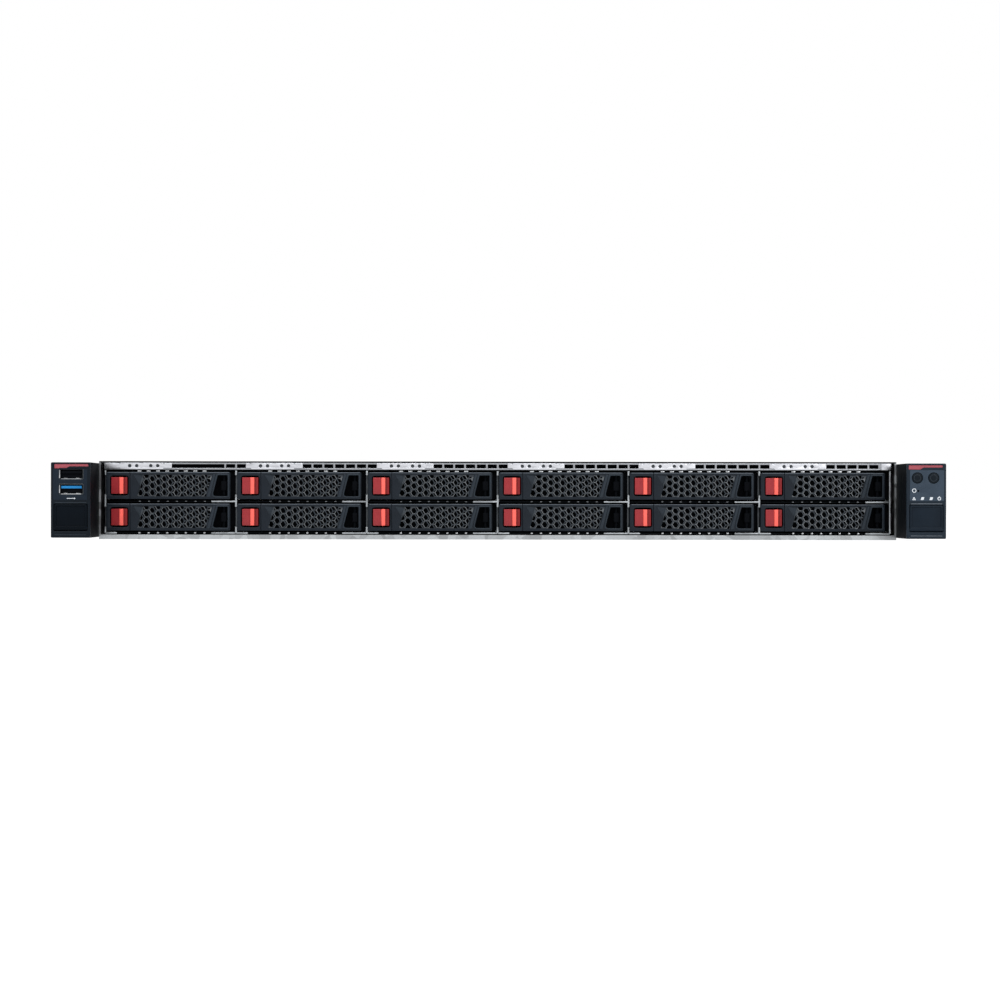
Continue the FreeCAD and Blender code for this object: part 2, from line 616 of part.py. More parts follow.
def lever_window():
    """Leaning window at the hinge end of the lever."""
    half = WINDOW_HEIGHT / 2
    right = FACE_RIGHT - WINDOW_INSET
    outline = [(right - WINDOW_WIDTH, -half), (right, -half), (right, half),
               (right - WINDOW_WIDTH + WINDOW_LEAN, half)]
    points = [Vec(x, -2 * FACE_PROUD, face_z(z)) for x, z in outline]
    return prism(points, Y_AXIS * LEVER_DEPTH)


def carrier_lever():
    """Ejector lever: grilled skin, two stiffening ribs, end wall and the pin between the ribs."""
    low = face_z(-FACE_HEIGHT / 2)
    high = face_z(FACE_HEIGHT / 2)
    front = -FACE_PROUD
    skin = block((LEVER_LEFT, FACE_RIGHT), (front, front + LEVER_SKIN), (low, high))
    ribs = [block((LEVER_LEFT, PIN_X + PIN_WALL), (front, LEVER_BACK_Y), (z, z + LEVER_RIB))
            for z in (low, high - LEVER_RIB)]
    end = block((LEVER_LEFT, LEVER_LEFT + LEVER_RIB), (front, LEVER_BACK_Y), (low, high))
    body = joined([skin.cut(honeycomb_cells() + [lever_window()]), end] + ribs)
    pin = rod(PIN_RADIUS, Vec(PIN_X, PIN_Y, low + LEVER_RIB), Z_AXIS * (FACE_HEIGHT - 2 * LEVER_RIB))
    return joined([body, pin])


# ---- backplane -------------------------------------------------------------
def backplane():
    """Board across the cage's rear edge with one drive socket per bay."""
    half = CAGE_WIDTH / 2
    board = block((-half, half), (CAGE_REAR_Y, CAGE_REAR_Y + BACKPLANE_THICKNESS), (CHASSIS_SHEET, ROOF_Z))
    vents = []
    sockets = []
    for number, x, z in bays():
        middle = x + COLUMN_PITCH / 2
        sockets.append(block((middle - SOCKET_WIDTH / 2, middle + SOCKET_WIDTH / 2),
                             (FRONT_Y + DRIVE_END_Y + MATING_GAP, CAGE_REAR_Y),
                             (z + FACE_FOOT_GAP, z + FACE_FOOT_GAP + SOCKET_HEIGHT)))
        if number <= BAY_COLUMNS:
            vents.append(block((x - BACKPLANE_VENT / 2, x + BACKPLANE_VENT / 2),
                               (CAGE_REAR_Y, CAGE_REAR_Y + BACKPLANE_THICKNESS), (BAY_FLOOR_Z, ROOF_Z - CAGE_SHEET)))
    return group([board.cut(vents[1:])] + sockets)


# ---- fans ------------------------------------------------------------------
def fan_centres():
    """Return the X of each fan."""
    return [(i - (FAN_COUNT - 1) / 2) * FAN_PITCH for i in range(FAN_COUNT)]


def many_sided(radius, front, length):
    """Return a regular prism along Y round the fan's axis, standing for a cylinder."""
    corners = []
    for i in range(ROUND_SIDES):
        angle = 2 * math.pi * i / ROUND_SIDES
        corners.append(Vec(radius * math.sin(angle), front, FAN_AXIS_Z + radius * math.cos(angle)))
    return prism(corners, Y_AXIS * length)


def fan_housing():
    """Square frame with its duct and an upright motor bar across the rear, at X = 0."""
    half = FAN_SIZE / 2
    frame = block((-half, half), (FAN_Y, FAN_Y + FAN_LENGTH), (FAN_AXIS_Z - half, FAN_AXIS_Z + half))
    bar = block((-STRUT_WIDTH / 2, STRUT_WIDTH / 2), (STRUT_Y, STRUT_Y + STRUT_LENGTH),
                (FAN_AXIS_Z - half, FAN_AXIS_Z + half))
    return joined([frame.cut(many_sided(FAN_BORE_RADIUS, FAN_Y, FAN_LENGTH)), bar])


def fan_rotor():
    """Hub with one flat per blade step and pitched blades, in front of the motor bar, at X = 0."""
    front = STRUT_Y - ROTOR_GAP - ROTOR_LENGTH
    solids = [many_sided(HUB_RADIUS, front, ROTOR_LENGTH)]
    lean = math.radians(BLADE_PITCH_ANGLE)
    inner_radius = FAN_BORE_RADIUS * math.cos(math.pi / ROUND_SIDES)
    tip = inner_radius - ROTOR_TIP_GAP
    reach = (ROTOR_LENGTH / 2 - BLADE_THICKNESS) / math.cos(lean)
    swing = reach * math.sin(lean) + BLADE_THICKNESS
    outer = math.sqrt(tip * tip - swing * swing)
    for i in range(BLADE_COUNT):
        blade = block((-BLADE_THICKNESS / 2, BLADE_THICKNESS / 2), (-reach, reach), (HUB_RADIUS / 2, outer))
        blade.rotate(Vec(0, 0, 0), Z_AXIS, BLADE_PITCH_ANGLE)
        blade.rotate(Vec(0, 0, 0), Y_AXIS, 360.0 * (i + 0.5) / BLADE_COUNT)
        blade.translate(Vec(0, front + ROTOR_LENGTH / 2, FAN_AXIS_Z))
        solids.append(blade)
    return joined(solids)


# ---- mainboard -------------------------------------------------------------
def heatsink(x, front):
    """Finned block over one processor, as one comb profile drawn along Y."""
    left = x - HEATSINK_WIDTH / 2
    base = BOARD_TOP
    floor = base + HEATSINK_BASE
    top = base + HEATSINK_HEIGHT
    step = (HEATSINK_WIDTH - FIN_THICKNESS) / (HEATSINK_FINS - 1)
    points = [Vec(left + HEATSINK_WIDTH, front, base), Vec(left, front, base)]
    for i in range(HEATSINK_FINS):
        near = left + i * step
        points += [Vec(near, front, top), Vec(near + FIN_THICKNESS, front, top)]
        if i < HEATSINK_FINS - 1:
            points += [Vec(near + FIN_THICKNESS, front, floor), Vec(near + step, front, floor)]
    return prism(points, Y_AXIS * HEATSINK_LENGTH)


def memory_bank(start, front, step):
    """Row of upright memory modules side by side."""
    modules = []
    for i in range(MEMORY_PER_BANK):
        near = start + i * step
        modules.append(block(sorted((near, near + math.copysign(MEMORY_THICKNESS, step))),
                             (front, front + MEMORY_LENGTH), (BOARD_TOP, BOARD_TOP + MEMORY_HEIGHT)))
    return modules


def rear_ports():
    """Shells of the network jacks and the video port along the board's rear edge."""
    ports = []
    for i in range(JACK_COUNT):
        x = JACK_START + i * JACK_PITCH
        half = JACK_WIDTH / 2
        shell = block((x - half, x + half), (REAR_Y - JACK_DEPTH, REAR_Y), (BOARD_TOP, BOARD_TOP + JACK_HEIGHT))
        hollow = block((x - half + JACK_WALL, x + half - JACK_WALL), (REAR_Y - JACK_DEPTH + JACK_WALL, REAR_Y),
                       (BOARD_TOP + JACK_WALL, BOARD_TOP + JACK_HEIGHT - JACK_WALL))
        ports.append(shell.cut(hollow))
    half = VIDEO_WIDTH / 2
    ports.append(block((VIDEO_MIDDLE - half, VIDEO_MIDDLE + half), (REAR_Y - VIDEO_DEPTH, REAR_Y),
                       (BOARD_TOP, BOARD_TOP + VIDEO_HEIGHT)))
    return ports


def slot_covers():
    """Blank covers over the expansion slots, seated on the rear panel's inner face."""
    covers = []
    inner = REAR_Y - CHASSIS_SHEET
    rise = SLOT_HEIGHT / 2 + SLOT_COVER_LAP
    for z in rear_slots():
        covers.append(block((SLOT_EDGES[0] - SLOT_COVER_LAP, SLOT_EDGES[1] + SLOT_COVER_LAP),
                            (inner - CAGE_SHEET, inner), (z - rise, z + rise)))
    return covers


def mainboard():
    """Board with heat sinks, memory, rear ports and slot covers as separate solids."""
    outline = [Vec(x, y, BOARD_Z) for x, y in board_corners()]
    solids = [prism(outline, Z_AXIS * BOARD_THICKNESS)]
    front = FRONT_Y + BOARD_START + SOCKETS_START
    for middle in (-HEATSINK_OFFSET, HEATSINK_OFFSET):
        solids.append(heatsink(middle, front))
        edge = HEATSINK_WIDTH / 2 + MEMORY_GAP
        solids += memory_bank(middle + edge, front, MEMORY_PITCH)
        solids += memory_bank(middle - edge, front, -MEMORY_PITCH)
    return group(solids + rear_ports() + slot_covers())


# ---- ears, drawn for the right side: U out from the chassis wall ---------------
def ear_body():
    """Ear block with the pocket behind its door and a notch for each end of the door's pin."""
    body = block((0, EAR_WIDTH), (-EAR_DEPTH, -EAR_BRACKET), (EAR_MARGIN, EAR_TOP))
    outer = upright_edges(body, (EAR_WIDTH - 1, 0), (EAR_WIDTH + 1, CHASSIS_HEIGHT))
    body = body.makeFillet(EAR_CORNER, outer)
    door_top = DOOR_Z + DOOR_HEIGHT
    recess = block((EAR_WALL, EAR_WIDTH - EAR_WALL), (-EAR_DEPTH, DOOR_PIN_Y + DOOR_BARREL + DOOR_GAP),
                   (DOOR_Z - DOOR_GAP, door_top + DOOR_GAP))
    pocket = block((EAR_WALL, EAR_WIDTH - EAR_WALL), (-EAR_DEPTH, -EAR_BRACKET),
                   (DOOR_Z + EAR_WALL, door_top - EAR_WALL))
    reach = DOOR_BARREL + PIN_GAP
    depth = PIN_OVERHANG + PIN_GAP
    notch = block((EAR_WALL - depth, EAR_WIDTH - EAR_WALL + depth), (-EAR_DEPTH, DOOR_PIN_Y + reach),
                  (DOOR_PIN_Z - reach, DOOR_PIN_Z + reach))
    return body.cut([recess, pocket, notch]).removeSplitter()


def ear_bracket():
    """Steel angle: flange on the rack post and a leg along the chassis wall."""
    flange = block((0, EAR_WIDTH), (-EAR_BRACKET, 0), (EAR_MARGIN, EAR_TOP))
    leg = block((0, EAR_BRACKET), (-EAR_BRACKET, EAR_BRACKET_LENGTH), (EAR_MARGIN, EAR_TOP))
    hole = rod(SCREW_RADIUS + SCREW_GAP, Vec(SCREW_OFFSET, -EAR_BRACKET, SCREW_HEIGHT), Y_AXIS * EAR_BRACKET)
    return joined([flange, leg]).cut(hole)


def rack_screw():
    """Captive screw: head on the bracket's flange, square neck through it, shank out behind."""
    half = SCREW_NECK / 2
    neck = block((SCREW_OFFSET - half, SCREW_OFFSET + half), (-EAR_BRACKET, 0),
                 (SCREW_HEIGHT - half, SCREW_HEIGHT + half))
    shank = rod(SCREW_RADIUS, Vec(SCREW_OFFSET, 0, SCREW_HEIGHT), Y_AXIS * SCREW_REACH)
    head = rod(SCREW_HEAD_RADIUS, Vec(SCREW_OFFSET, -EAR_BRACKET - SCREW_HEAD_LENGTH, SCREW_HEIGHT),
               Y_AXIS * SCREW_HEAD_LENGTH)
    return joined([shank, neck, head])


def ear_door():
    """Flap over the screw, with its round lower edge running on as a pin at both ends."""
    left = EAR_WALL + DOOR_GAP
    right = EAR_WIDTH - EAR_WALL - DOOR_GAP
    panel = block((left, right), (-EAR_DEPTH, DOOR_THICKNESS - EAR_DEPTH), (DOOR_PIN_Z, DOOR_Z + DOOR_HEIGHT))
    pin_left = EAR_WALL - PIN_OVERHANG
    pin = rod(DOOR_BARREL, Vec(pin_left, DOOR_PIN_Y, DOOR_PIN_Z), X_AXIS * (EAR_WIDTH - 2 * pin_left))
    return joined([panel, pin])


def usb_opening(z):
    """Return the cut for one socket in the ear's front face."""
    half = USB_WIDTH / 2
    return block((USB_OFFSET - half, USB_OFFSET + half), (-EAR_DEPTH - 1, USB_DEPTH - EAR_DEPTH),
                 (z - USB_HEIGHT / 2, z + USB_HEIGHT / 2))


def usb_socket(z):
    """Return the metal shell and the tongue of one socket."""
    half = USB_WIDTH / 2
    depth = (-EAR_DEPTH, USB_DEPTH - EAR_DEPTH)
    shell = block((USB_OFFSET - half, USB_OFFSET + half), depth, (z - USB_HEIGHT / 2, z + USB_HEIGHT / 2))
    inner = half - USB_SHELL
    rise = USB_HEIGHT / 2 - USB_SHELL
    hollow = block((USB_OFFSET - inner, USB_OFFSET + inner), (depth[0], depth[1] - USB_SHELL),
                   (z - rise, z + rise))
    tongue_half = USB_TONGUE_WIDTH / 2
    tongue = block((USB_OFFSET - tongue_half, USB_OFFSET + tongue_half),
                   (depth[0] + 2 * USB_SHELL, depth[1] - USB_SHELL), (z, z + USB_TONGUE_HEIGHT))
    return [shell.cut(hollow), tongue]


def placed_on(side, shape):
    """Place a right-hand ear piece on the right (1) or mirror it to the left (-1)."""
    shape = moved(shape, x=SIDE_X)
    if side < 0:
        shape = shape.mirror(Vec(0, 0, 0), X_AXIS)
    return shape


def left_ear():
    """Left ear: body, bracket, captive screw and two USB sockets."""
    body = ear_body().cut([usb_opening(USB_UPPER), usb_opening(USB_LOWER)])
    solids = [body, ear_bracket(), rack_screw()] + usb_socket(USB_UPPER) + usb_socket(USB_LOWER)
    return group([placed_on(-1, solid) for solid in solids])


def key_hole(offset):
    """Return the round well for one push button."""
    return rod(KEY_RADIUS + KEY_GAP, Vec(offset, -EAR_DEPTH, KEY_HEIGHT), Y_AXIS * (KEY_LENGTH + KEY_TRAVEL + KEY_GAP))


def right_ear():
    """Right ear: body with two button wells, bracket and captive screw."""
    body = ear_body().cut([key_hole(POWER_KEY_OFFSET), key_hole(IDENT_KEY_OFFSET)])
    return group([placed_on(1, solid) for solid in (body, ear_bracket(), rack_screw())])


def push_button(offset):
    """Round button cap flush with the ear's face."""
    return placed_on(1, rod(KEY_RADIUS, Vec(offset, -EAR_DEPTH, KEY_HEIGHT), Y_AXIS * KEY_LENGTH))


# ---- cover and latch -------------------------------------------------------
def top_cover():
    """Sheet cover, its two side flanges and the tub set into it that the latch lies in."""
    sheet = COVER_SHEET
    tub_x = (-WELL_HALF - sheet, WELL_HALF + sheet)
    tub_y = (WELL_Y - sheet, WELL_END_Y + sheet)
    low = CHASSIS_HEIGHT - WELL_DEPTH - sheet
    plate = block((-SIDE_X, SIDE_X), (FRONT_Y, REAR_Y), (COVER_Z, CHASSIS_HEIGHT))
    solids = [plate.cut(block(tub_x, tub_y, (COVER_Z, CHASSIS_HEIGHT)))]
    outer = SIDE_X - CHASSIS_SHEET - COVER_SIDE_GAP
    run = (CAGE_REAR_Y + BACKPLANE_THICKNESS + FAN_SIZE / 4, SUPPLY_FRONT_Y)
    for side in (-1, 1):
        solids.append(block(sorted((side * outer, side * (outer - sheet))), run, (COVER_Z - COVER_FLANGE, COVER_Z)))
    tub = block(tub_x, tub_y, (low, CHASSIS_HEIGHT))
    well = block((-WELL_HALF, WELL_HALF), (WELL_Y, WELL_END_Y), (low + sheet, CHASSIS_HEIGHT))
    reach = LATCH_BARREL + PIN_GAP
    notch = block(tub_x, (LATCH_PIN_Y - reach, LATCH_PIN_Y + reach), (LATCH_PIN_Z - reach, LATCH_PIN_Z + reach))
    return group(solids + [tub.cut([well, notch]).removeSplitter()])


def cover_latch():
    """Latch lever lying flush in the cover's well, its round front end running on as pins."""
    half = LATCH_WIDTH / 2
    plate = block((-half, half), (LATCH_PIN_Y, WELL_Y + LATCH_LENGTH), (LATCH_TOP - LATCH_THICKNESS, LATCH_TOP))
    pin_half = WELL_HALF + COVER_SHEET / 2
    pin = rod(LATCH_BARREL, Vec(-pin_half, LATCH_PIN_Y, LATCH_PIN_Z), X_AXIS * 2 * pin_half)
    return joined([plate, pin])


# ---- power supplies, drawn with their middle at X = 0 --------------------------
def supply():
    """Supply case with its inlet recess, latch slot and fixed loop handle."""
    half = SUPPLY_WIDTH / 2
    case = block((-half, half), (SUPPLY_FRONT_Y, REAR_Y), (SUPPLY_Z, SUPPLY_Z + SUPPLY_HEIGHT))
    inlet_left = -half + INLET_INSET
    inlet = block((inlet_left, inlet_left + INLET_WIDTH), (REAR_Y - INLET_DEPTH, REAR_Y),
                  (TAB_Z - INLET_HEIGHT / 2, TAB_Z + INLET_HEIGHT / 2))
    rise = TAB_HEIGHT / 2 + TAB_SLOT_GAP
    slot = block((TAB_X - TAB_THICKNESS / 2 - TAB_SWING, TAB_X + TAB_THICKNESS / 2 + TAB_SIDE_GAP),
                 (REAR_Y - TAB_ROOT - TAB_SIDE_GAP, REAR_Y), (TAB_Z - rise, TAB_Z + rise))
    left = inlet_left + INLET_WIDTH + HANDLE_INSET
    loop = block((left, left + HANDLE_WIDTH), (REAR_Y, REAR_Y + HANDLE_REACH),
                 (TAB_Z - HANDLE_HEIGHT / 2, TAB_Z + HANDLE_HEIGHT / 2))
    gap = block((left, left + HANDLE_WIDTH), (REAR_Y, REAR_Y + HANDLE_REACH - HANDLE_BAR),
                (TAB_Z - HANDLE_HEIGHT / 2 + HANDLE_BAR, TAB_Z + HANDLE_HEIGHT / 2 - HANDLE_BAR))
    return joined([case.cut([inlet, slot]), loop.cut(gap)])


def supply_latch():
    """Sprung thumb tab, rooted in the supply's slot and reaching out behind it."""
    half = TAB_THICKNESS / 2
    return block((TAB_X - half, TAB_X + half), (REAR_Y - TAB_ROOT, REAR_Y + TAB_REACH),
                 (TAB_Z - TAB_HEIGHT / 2, TAB_Z + TAB_HEIGHT / 2))


# ---- writing the nodes -----------------------------------------------------
def save_bays():
    """Write carrier, lever and button of every bay."""
    carrier = group([carrier_bezel(), drive()] + tray_rails())
    lever = carrier_lever()
    button = release_button()
    for number, x, z in bays():
        tag = "%02d" % number
        save("drive_carrier_" + tag, moved(carrier, x, FRONT_Y, z))
        save("carrier_lever_" + tag, moved(lever, x, FRONT_Y, z))
        save("release_button_" + tag, moved(button, x, FRONT_Y, z))


def save_fans():
    """Write the row of fan housings and each rotor."""
    housing = fan_housing()
    rotor = fan_rotor()
    save("fan_housings", group([moved(housing, x=x) for x in fan_centres()]))
    for number, x in enumerate(fan_centres(), 1):
        save("fan_rotor_%d" % number, moved(rotor, x=x))


def save_supplies():
    """Write both power supplies and their latches."""
    for number, x in enumerate(SUPPLY_X, 1):
        save("power_supply_%d" % number, moved(supply(), x=x))
        save("supply_latch_%d" % number, moved(supply_latch(), x=x))


def main():
    """Build every node."""
    os.makedirs("parts", exist_ok=True)
    save("chassis_base", chassis_base())
    save("drive_cage", drive_cage())
    save("light_pipe_plates", light_pipe_plates())
    save_bays()
    save("backplane", backplane())
    save_fans()
    save("mainboard", mainboard())
    save("left_ear", left_ear())
    save("right_ear", right_ear())
    save("left_ear_door", placed_on(-1, ear_door()))
    save("right_ear_door", placed_on(1, ear_door()))
    save("power_button", push_button(POWER_KEY_OFFSET))
    save("ident_button", push_button(IDENT_KEY_OFFSET))
    save("top_cover", top_cover())
    save("cover_latch", cover_latch())
    save_supplies()


main()
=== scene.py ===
"""Looks of a 1U rack server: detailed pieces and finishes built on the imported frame.

Frame: X to the right seen from the front, Y towards the rear, Z up.
Lengths are millimetres while a piece is drawn, and metres once its mesh is made.
"""
import logging
import math
from dataclasses import dataclass, field
from enum import Enum

import bmesh
import bpy
from mathutils import Matrix, Vector


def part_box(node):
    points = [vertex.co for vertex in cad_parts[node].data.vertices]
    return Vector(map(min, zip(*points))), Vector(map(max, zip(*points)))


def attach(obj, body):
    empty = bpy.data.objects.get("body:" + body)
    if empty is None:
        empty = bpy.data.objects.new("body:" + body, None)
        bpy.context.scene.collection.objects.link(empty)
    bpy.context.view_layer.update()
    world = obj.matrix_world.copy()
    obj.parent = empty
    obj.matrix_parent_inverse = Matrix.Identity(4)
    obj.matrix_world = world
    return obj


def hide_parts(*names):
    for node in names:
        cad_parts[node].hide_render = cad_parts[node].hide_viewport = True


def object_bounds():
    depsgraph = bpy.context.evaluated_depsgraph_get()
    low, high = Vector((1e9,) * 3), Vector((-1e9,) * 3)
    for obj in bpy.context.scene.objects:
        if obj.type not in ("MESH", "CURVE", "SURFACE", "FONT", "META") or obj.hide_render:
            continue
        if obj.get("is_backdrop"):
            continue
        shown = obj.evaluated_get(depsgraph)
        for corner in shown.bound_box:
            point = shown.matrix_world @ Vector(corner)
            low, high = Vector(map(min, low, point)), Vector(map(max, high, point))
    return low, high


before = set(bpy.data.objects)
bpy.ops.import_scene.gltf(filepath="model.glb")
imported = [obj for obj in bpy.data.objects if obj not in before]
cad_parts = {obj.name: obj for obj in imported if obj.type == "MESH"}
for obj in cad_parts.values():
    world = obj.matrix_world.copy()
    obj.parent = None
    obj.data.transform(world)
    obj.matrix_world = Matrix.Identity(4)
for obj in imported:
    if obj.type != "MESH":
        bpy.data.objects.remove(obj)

MM = 0.001
Point = tuple[float, float]
Span = tuple[float, float]
log = logging.getLogger("server")


# ---- shader maths -----------------------------------------------------------
class Signal:
    """One output of a node, with Python's operators standing for Math nodes."""

    def __init__(self, tree: bpy.types.NodeTree, socket: bpy.types.NodeSocket) -> None:
        """Keep the tree and the socket.

        Args:
            tree: node tree that the socket belongs to.
            socket: the output that this signal stands for.
        """
        self.tree = tree
        self.socket = socket

    def math(self, operation: str, *values: "Signal | float") -> "Signal":
        """Add a Math node.

        Args:
            operation: the node's operation.
            values: its inputs in order, signals or numbers.

        Returns:
            The node's result.
        """
        node = self.tree.nodes.new("ShaderNodeMath")
        node.operation = operation
        for slot, value in zip(node.inputs, values):
            if isinstance(value, Signal):
                self.tree.links.new(value.socket, slot)
            else:
                slot.default_value = value
        return Signal(self.tree, node.outputs[0])

    def __add__(self, other: "Signal | float") -> "Signal":
        """Return the sum."""
        return self.math("ADD", self, other)

    __radd__ = __add__

    def __mul__(self, other: "Signal | float") -> "Signal":
        """Return the product."""
        return self.math("MULTIPLY", self, other)

    __rmul__ = __mul__

    def __sub__(self, other: "Signal | float") -> "Signal":
        """Return this less the other."""
        return self.math("SUBTRACT", self, other)

    def __rsub__(self, other: "Signal | float") -> "Signal":
        """Return the other less this."""
        return self.math("SUBTRACT", other, self)

    def above(self, level: float) -> "Signal":
        """Return 1 where this is above a level and 0 elsewhere."""
        return self.math("GREATER_THAN", self, level)

    def power(self, exponent: float) -> "Signal":
        """Return this raised to a power."""
        return self.math("POWER", self, exponent)


class Shader:
    """Node tree of one material."""

    def __init__(self, name: str) -> None:
        """Start a material with a Principled shader.

        Args:
            name: the material's name.
        """
        self.material = bpy.data.materials.new(name)
        self.material.use_nodes = True
        self.tree = self.material.node_tree
        self.bsdf = self.tree.nodes["Principled BSDF"]

    def node(self, kind: str, settings: dict | None = None, values: dict | None = None,
             outlet: int | str = 0) -> Signal:
        """Add any node.

        Args:
            kind: the node's type.
            settings: its properties, set before the sockets.
            values: numbers, vectors or signals by input name or number.
            outlet: name or number of the output wanted.

        Returns:
            The chosen output.
        """
        node = self.tree.nodes.new(kind)
        for key, value in (settings or {}).items():
            if key == "stops":
                self._stops(node.color_ramp, value)
            else:
                setattr(node, key, value)
        for key, value in (values or {}).items():
            self._feed(node.inputs[key], value)
        return Signal(self.tree, node.outputs[outlet])

    @staticmethod
    def _stops(ramp: bpy.types.ColorRamp, stops: list[tuple[float, float]]) -> None:
        """Set a ramp's stops from (place, grey level) pairs."""
        for index, (place, level) in enumerate(stops):
            stop = ramp.elements[index] if index < 2 else ramp.elements.new(place)
            stop.position = place
            stop.color = (level, level, level, 1.0)

    def _feed(self, socket: bpy.types.NodeSocket, value: object) -> None:
        """Link a signal to a socket, or set its value."""
        if isinstance(value, Signal):
            self.tree.links.new(value.socket, socket)
        else:
            socket.default_value = value

    def set(self, **values: object) -> None:
        """Set or link the Principled shader's sockets, named with underscores for spaces."""
        for key, value in values.items():
            self._feed(self.bsdf.inputs[key.replace("_", " ")], value)

    def place(self) -> Signal:
        """Return the position in the piece's own space, in metres."""
        return self.node("ShaderNodeTexCoord", outlet="Object")

    def stretched(self, scale: tuple[float, float, float]) -> Signal:
        """Return the position with each axis multiplied by its own number."""
        return self.node("ShaderNodeVectorMath", {"operation": "MULTIPLY"}, {0: self.place(), 1: scale})

    def noise(self, size: float, detail: float = 2.0, where: Signal | None = None) -> Signal:
        """Return noise.

        Args:
            size: size of its largest spots, in millimetres.
            detail: octaves of finer noise.
            where: position to sample, or the piece's own space.

        Returns:
            The noise, mostly from 0.3 to 0.7.
        """
        return self.node("ShaderNodeTexNoise", {}, {"Vector": where or self.place(), "Scale": 1 / (size * MM),
                                                    "Detail": detail, "Roughness": 0.55})

    def cells(self, size: float, feature: str = "F1", outlet: str = "Distance") -> Signal:
        """Return a Voronoi pattern whose cells have a size in millimetres."""
        return self.node("ShaderNodeTexVoronoi", {"feature": feature},
                         {"Vector": self.place(), "Scale": 1 / (size * MM)}, outlet)

    def ramp(self, value: Signal, *stops: tuple[float, float]) -> Signal:
        """Return a value through a grey ramp of (place, level) stops."""
        return self.node("ShaderNodeValToRGB", {"stops": list(stops)}, {"Fac": value})

    def mix(self, share: Signal | float, first: object, second: object) -> Signal:
        """Return a mix of two colours, from the first at 0 to the second at 1."""
        return self.node("ShaderNodeMix", {"data_type": "RGBA"}, {0: share, 6: first, 7: second}, 2)

    def bump(self, height: Signal, depth: float, strength: float = 1.0) -> Signal:
        """Return a normal bumped by a height from 0 to 1 over a depth in millimetres."""
        return self.node("ShaderNodeBump", {},
                         {"Height": height, "Distance": depth * MM, "Strength": strength})


def tone(code: str) -> tuple[float, float, float, float]:
    """Return a linear colour from a six digit sRGB code."""
    parts = [int(code[i:i + 2], 16) / 255 for i in (0, 2, 4)]
    linear = [p / 12.92 if p <= 0.04045 else ((p + 0.055) / 1.055) ** 2.4 for p in parts]
    return (*linear, 1.0)


def shade(colour: tuple[float, float, float, float], factor: float) -> tuple[float, float, float, float]:
    """Return a colour made lighter or darker by a factor."""
    return (*[min(c * factor, 1.0) for c in colour[:3]], 1.0)


# ---- finishes ---------------------------------------------------------------
@dataclass(frozen=True)
class Finish:
    """A finish that is made into a material once and then shared."""

    name: str
    colour: str
    roughness: float = 0.5

    def material(self) -> bpy.types.Material:
        """Return this finish's material, made the first time it is asked for."""
        found = bpy.data.materials.get(self.name)
        if found is not None:
            return found
        shader = Shader(self.name)
        self.paint(shader)
        shader.material.diffuse_color = tone(self.colour)
        return shader.material

    def paint(self, shader: Shader) -> None:
        """Set the shader's sockets."""
        raise NotImplementedError


@dataclass(frozen=True)
class MouldedPlastic(Finish):
    """Spark-grained moulded plastic with faint mottling and rubbed patches."""

    grain: float = 0.22
    depth: float = 0.012
    gloss: float = 0.14

    def paint(self, shader: Shader) -> None:
        """Set the shader's sockets."""
        base = tone(self.colour)
        grain = shader.noise(self.grain, 3.0)
        patches = shader.noise(14.0, 4.0)
        flow = shader.noise(3.0, 2.0, shader.stretched((0.25, 1.0, 1.0)))
        share = shader.ramp(patches * 0.6 + grain * 0.2 + flow * 0.2, (0.36, 0.0), (0.66, 1.0))
        shader.set(
            Base_Color=shader.mix(share, shade(base, 0.82), shade(base, 1.16)),
            Roughness=shader.ramp(patches * 0.5 + grain * 0.5, (0.3, self.roughness - 0.07),
                                  (0.7, self.roughness + 0.08)),
            Specular_IOR_Level=self.gloss,
            Normal=shader.bump(grain, self.depth),
        )


@dataclass(frozen=True)
class GalvanisedSheet(Finish):
    """Zinc-coated steel: crystal spangle, rolling lines and a few scuffs."""

    spangle: float = 5.0
    scuffs: float = 0.35

    def paint(self, shader: Shader) -> None:
        """Set the shader's sockets."""
        base = tone(self.colour)
        crystal = shader.cells(self.spangle, outlet="Color")
        grey = shader.node("ShaderNodeSeparateColor", {}, {"Color": crystal})
        rolling = shader.noise(0.5, 2.0, shader.stretched((1.0, 0.02, 1.0)))
        stain = shader.noise(40.0, 5.0)
        scuff = shader.ramp(shader.noise(2.2, 6.0, shader.stretched((0.15, 1.0, 0.6))), (0.60, 0.0),
                            (0.68, 1.0))
        tint = grey * 0.45 + rolling * 0.25 + stain * 0.3
        shader.set(
            Base_Color=shader.mix(shader.ramp(tint, (0.25, 0.0), (0.7, 1.0)), shade(base, 0.8),
                                  shade(base, 1.12)),
            Metallic=1.0,
            Roughness=shader.ramp(tint + scuff * self.scuffs * 0.3, (0.2, self.roughness - 0.1),
                                  (0.85, self.roughness + 0.14)),
            Normal=shader.bump(rolling * 0.7 + scuff * self.scuffs, 0.006),
        )


@dataclass(frozen=True)
class SatinMetal(Finish):
    """Plated or machined metal with fine drawn lines."""

    line: float = 0.12

    def paint(self, shader: Shader) -> None:
        """Set the shader's sockets."""
        base = tone(self.colour)
        drawn = shader.noise(self.line, 3.0, shader.stretched((0.06, 1.0, 1.0)))
        cloud = shader.noise(6.0, 3.0)
        shader.set(
            Base_Color=shader.mix(shader.ramp(cloud * 0.5 + drawn * 0.5, (0.3, 0.0), (0.7, 1.0)),
                                  shade(base, 0.86), shade(base, 1.08)),
            Metallic=1.0,
            Roughness=shader.ramp(drawn * 0.6 + cloud * 0.4, (0.3, self.roughness - 0.06),
                                  (0.7, self.roughness + 0.1)),
            Normal=shader.bump(drawn, 0.004),
        )


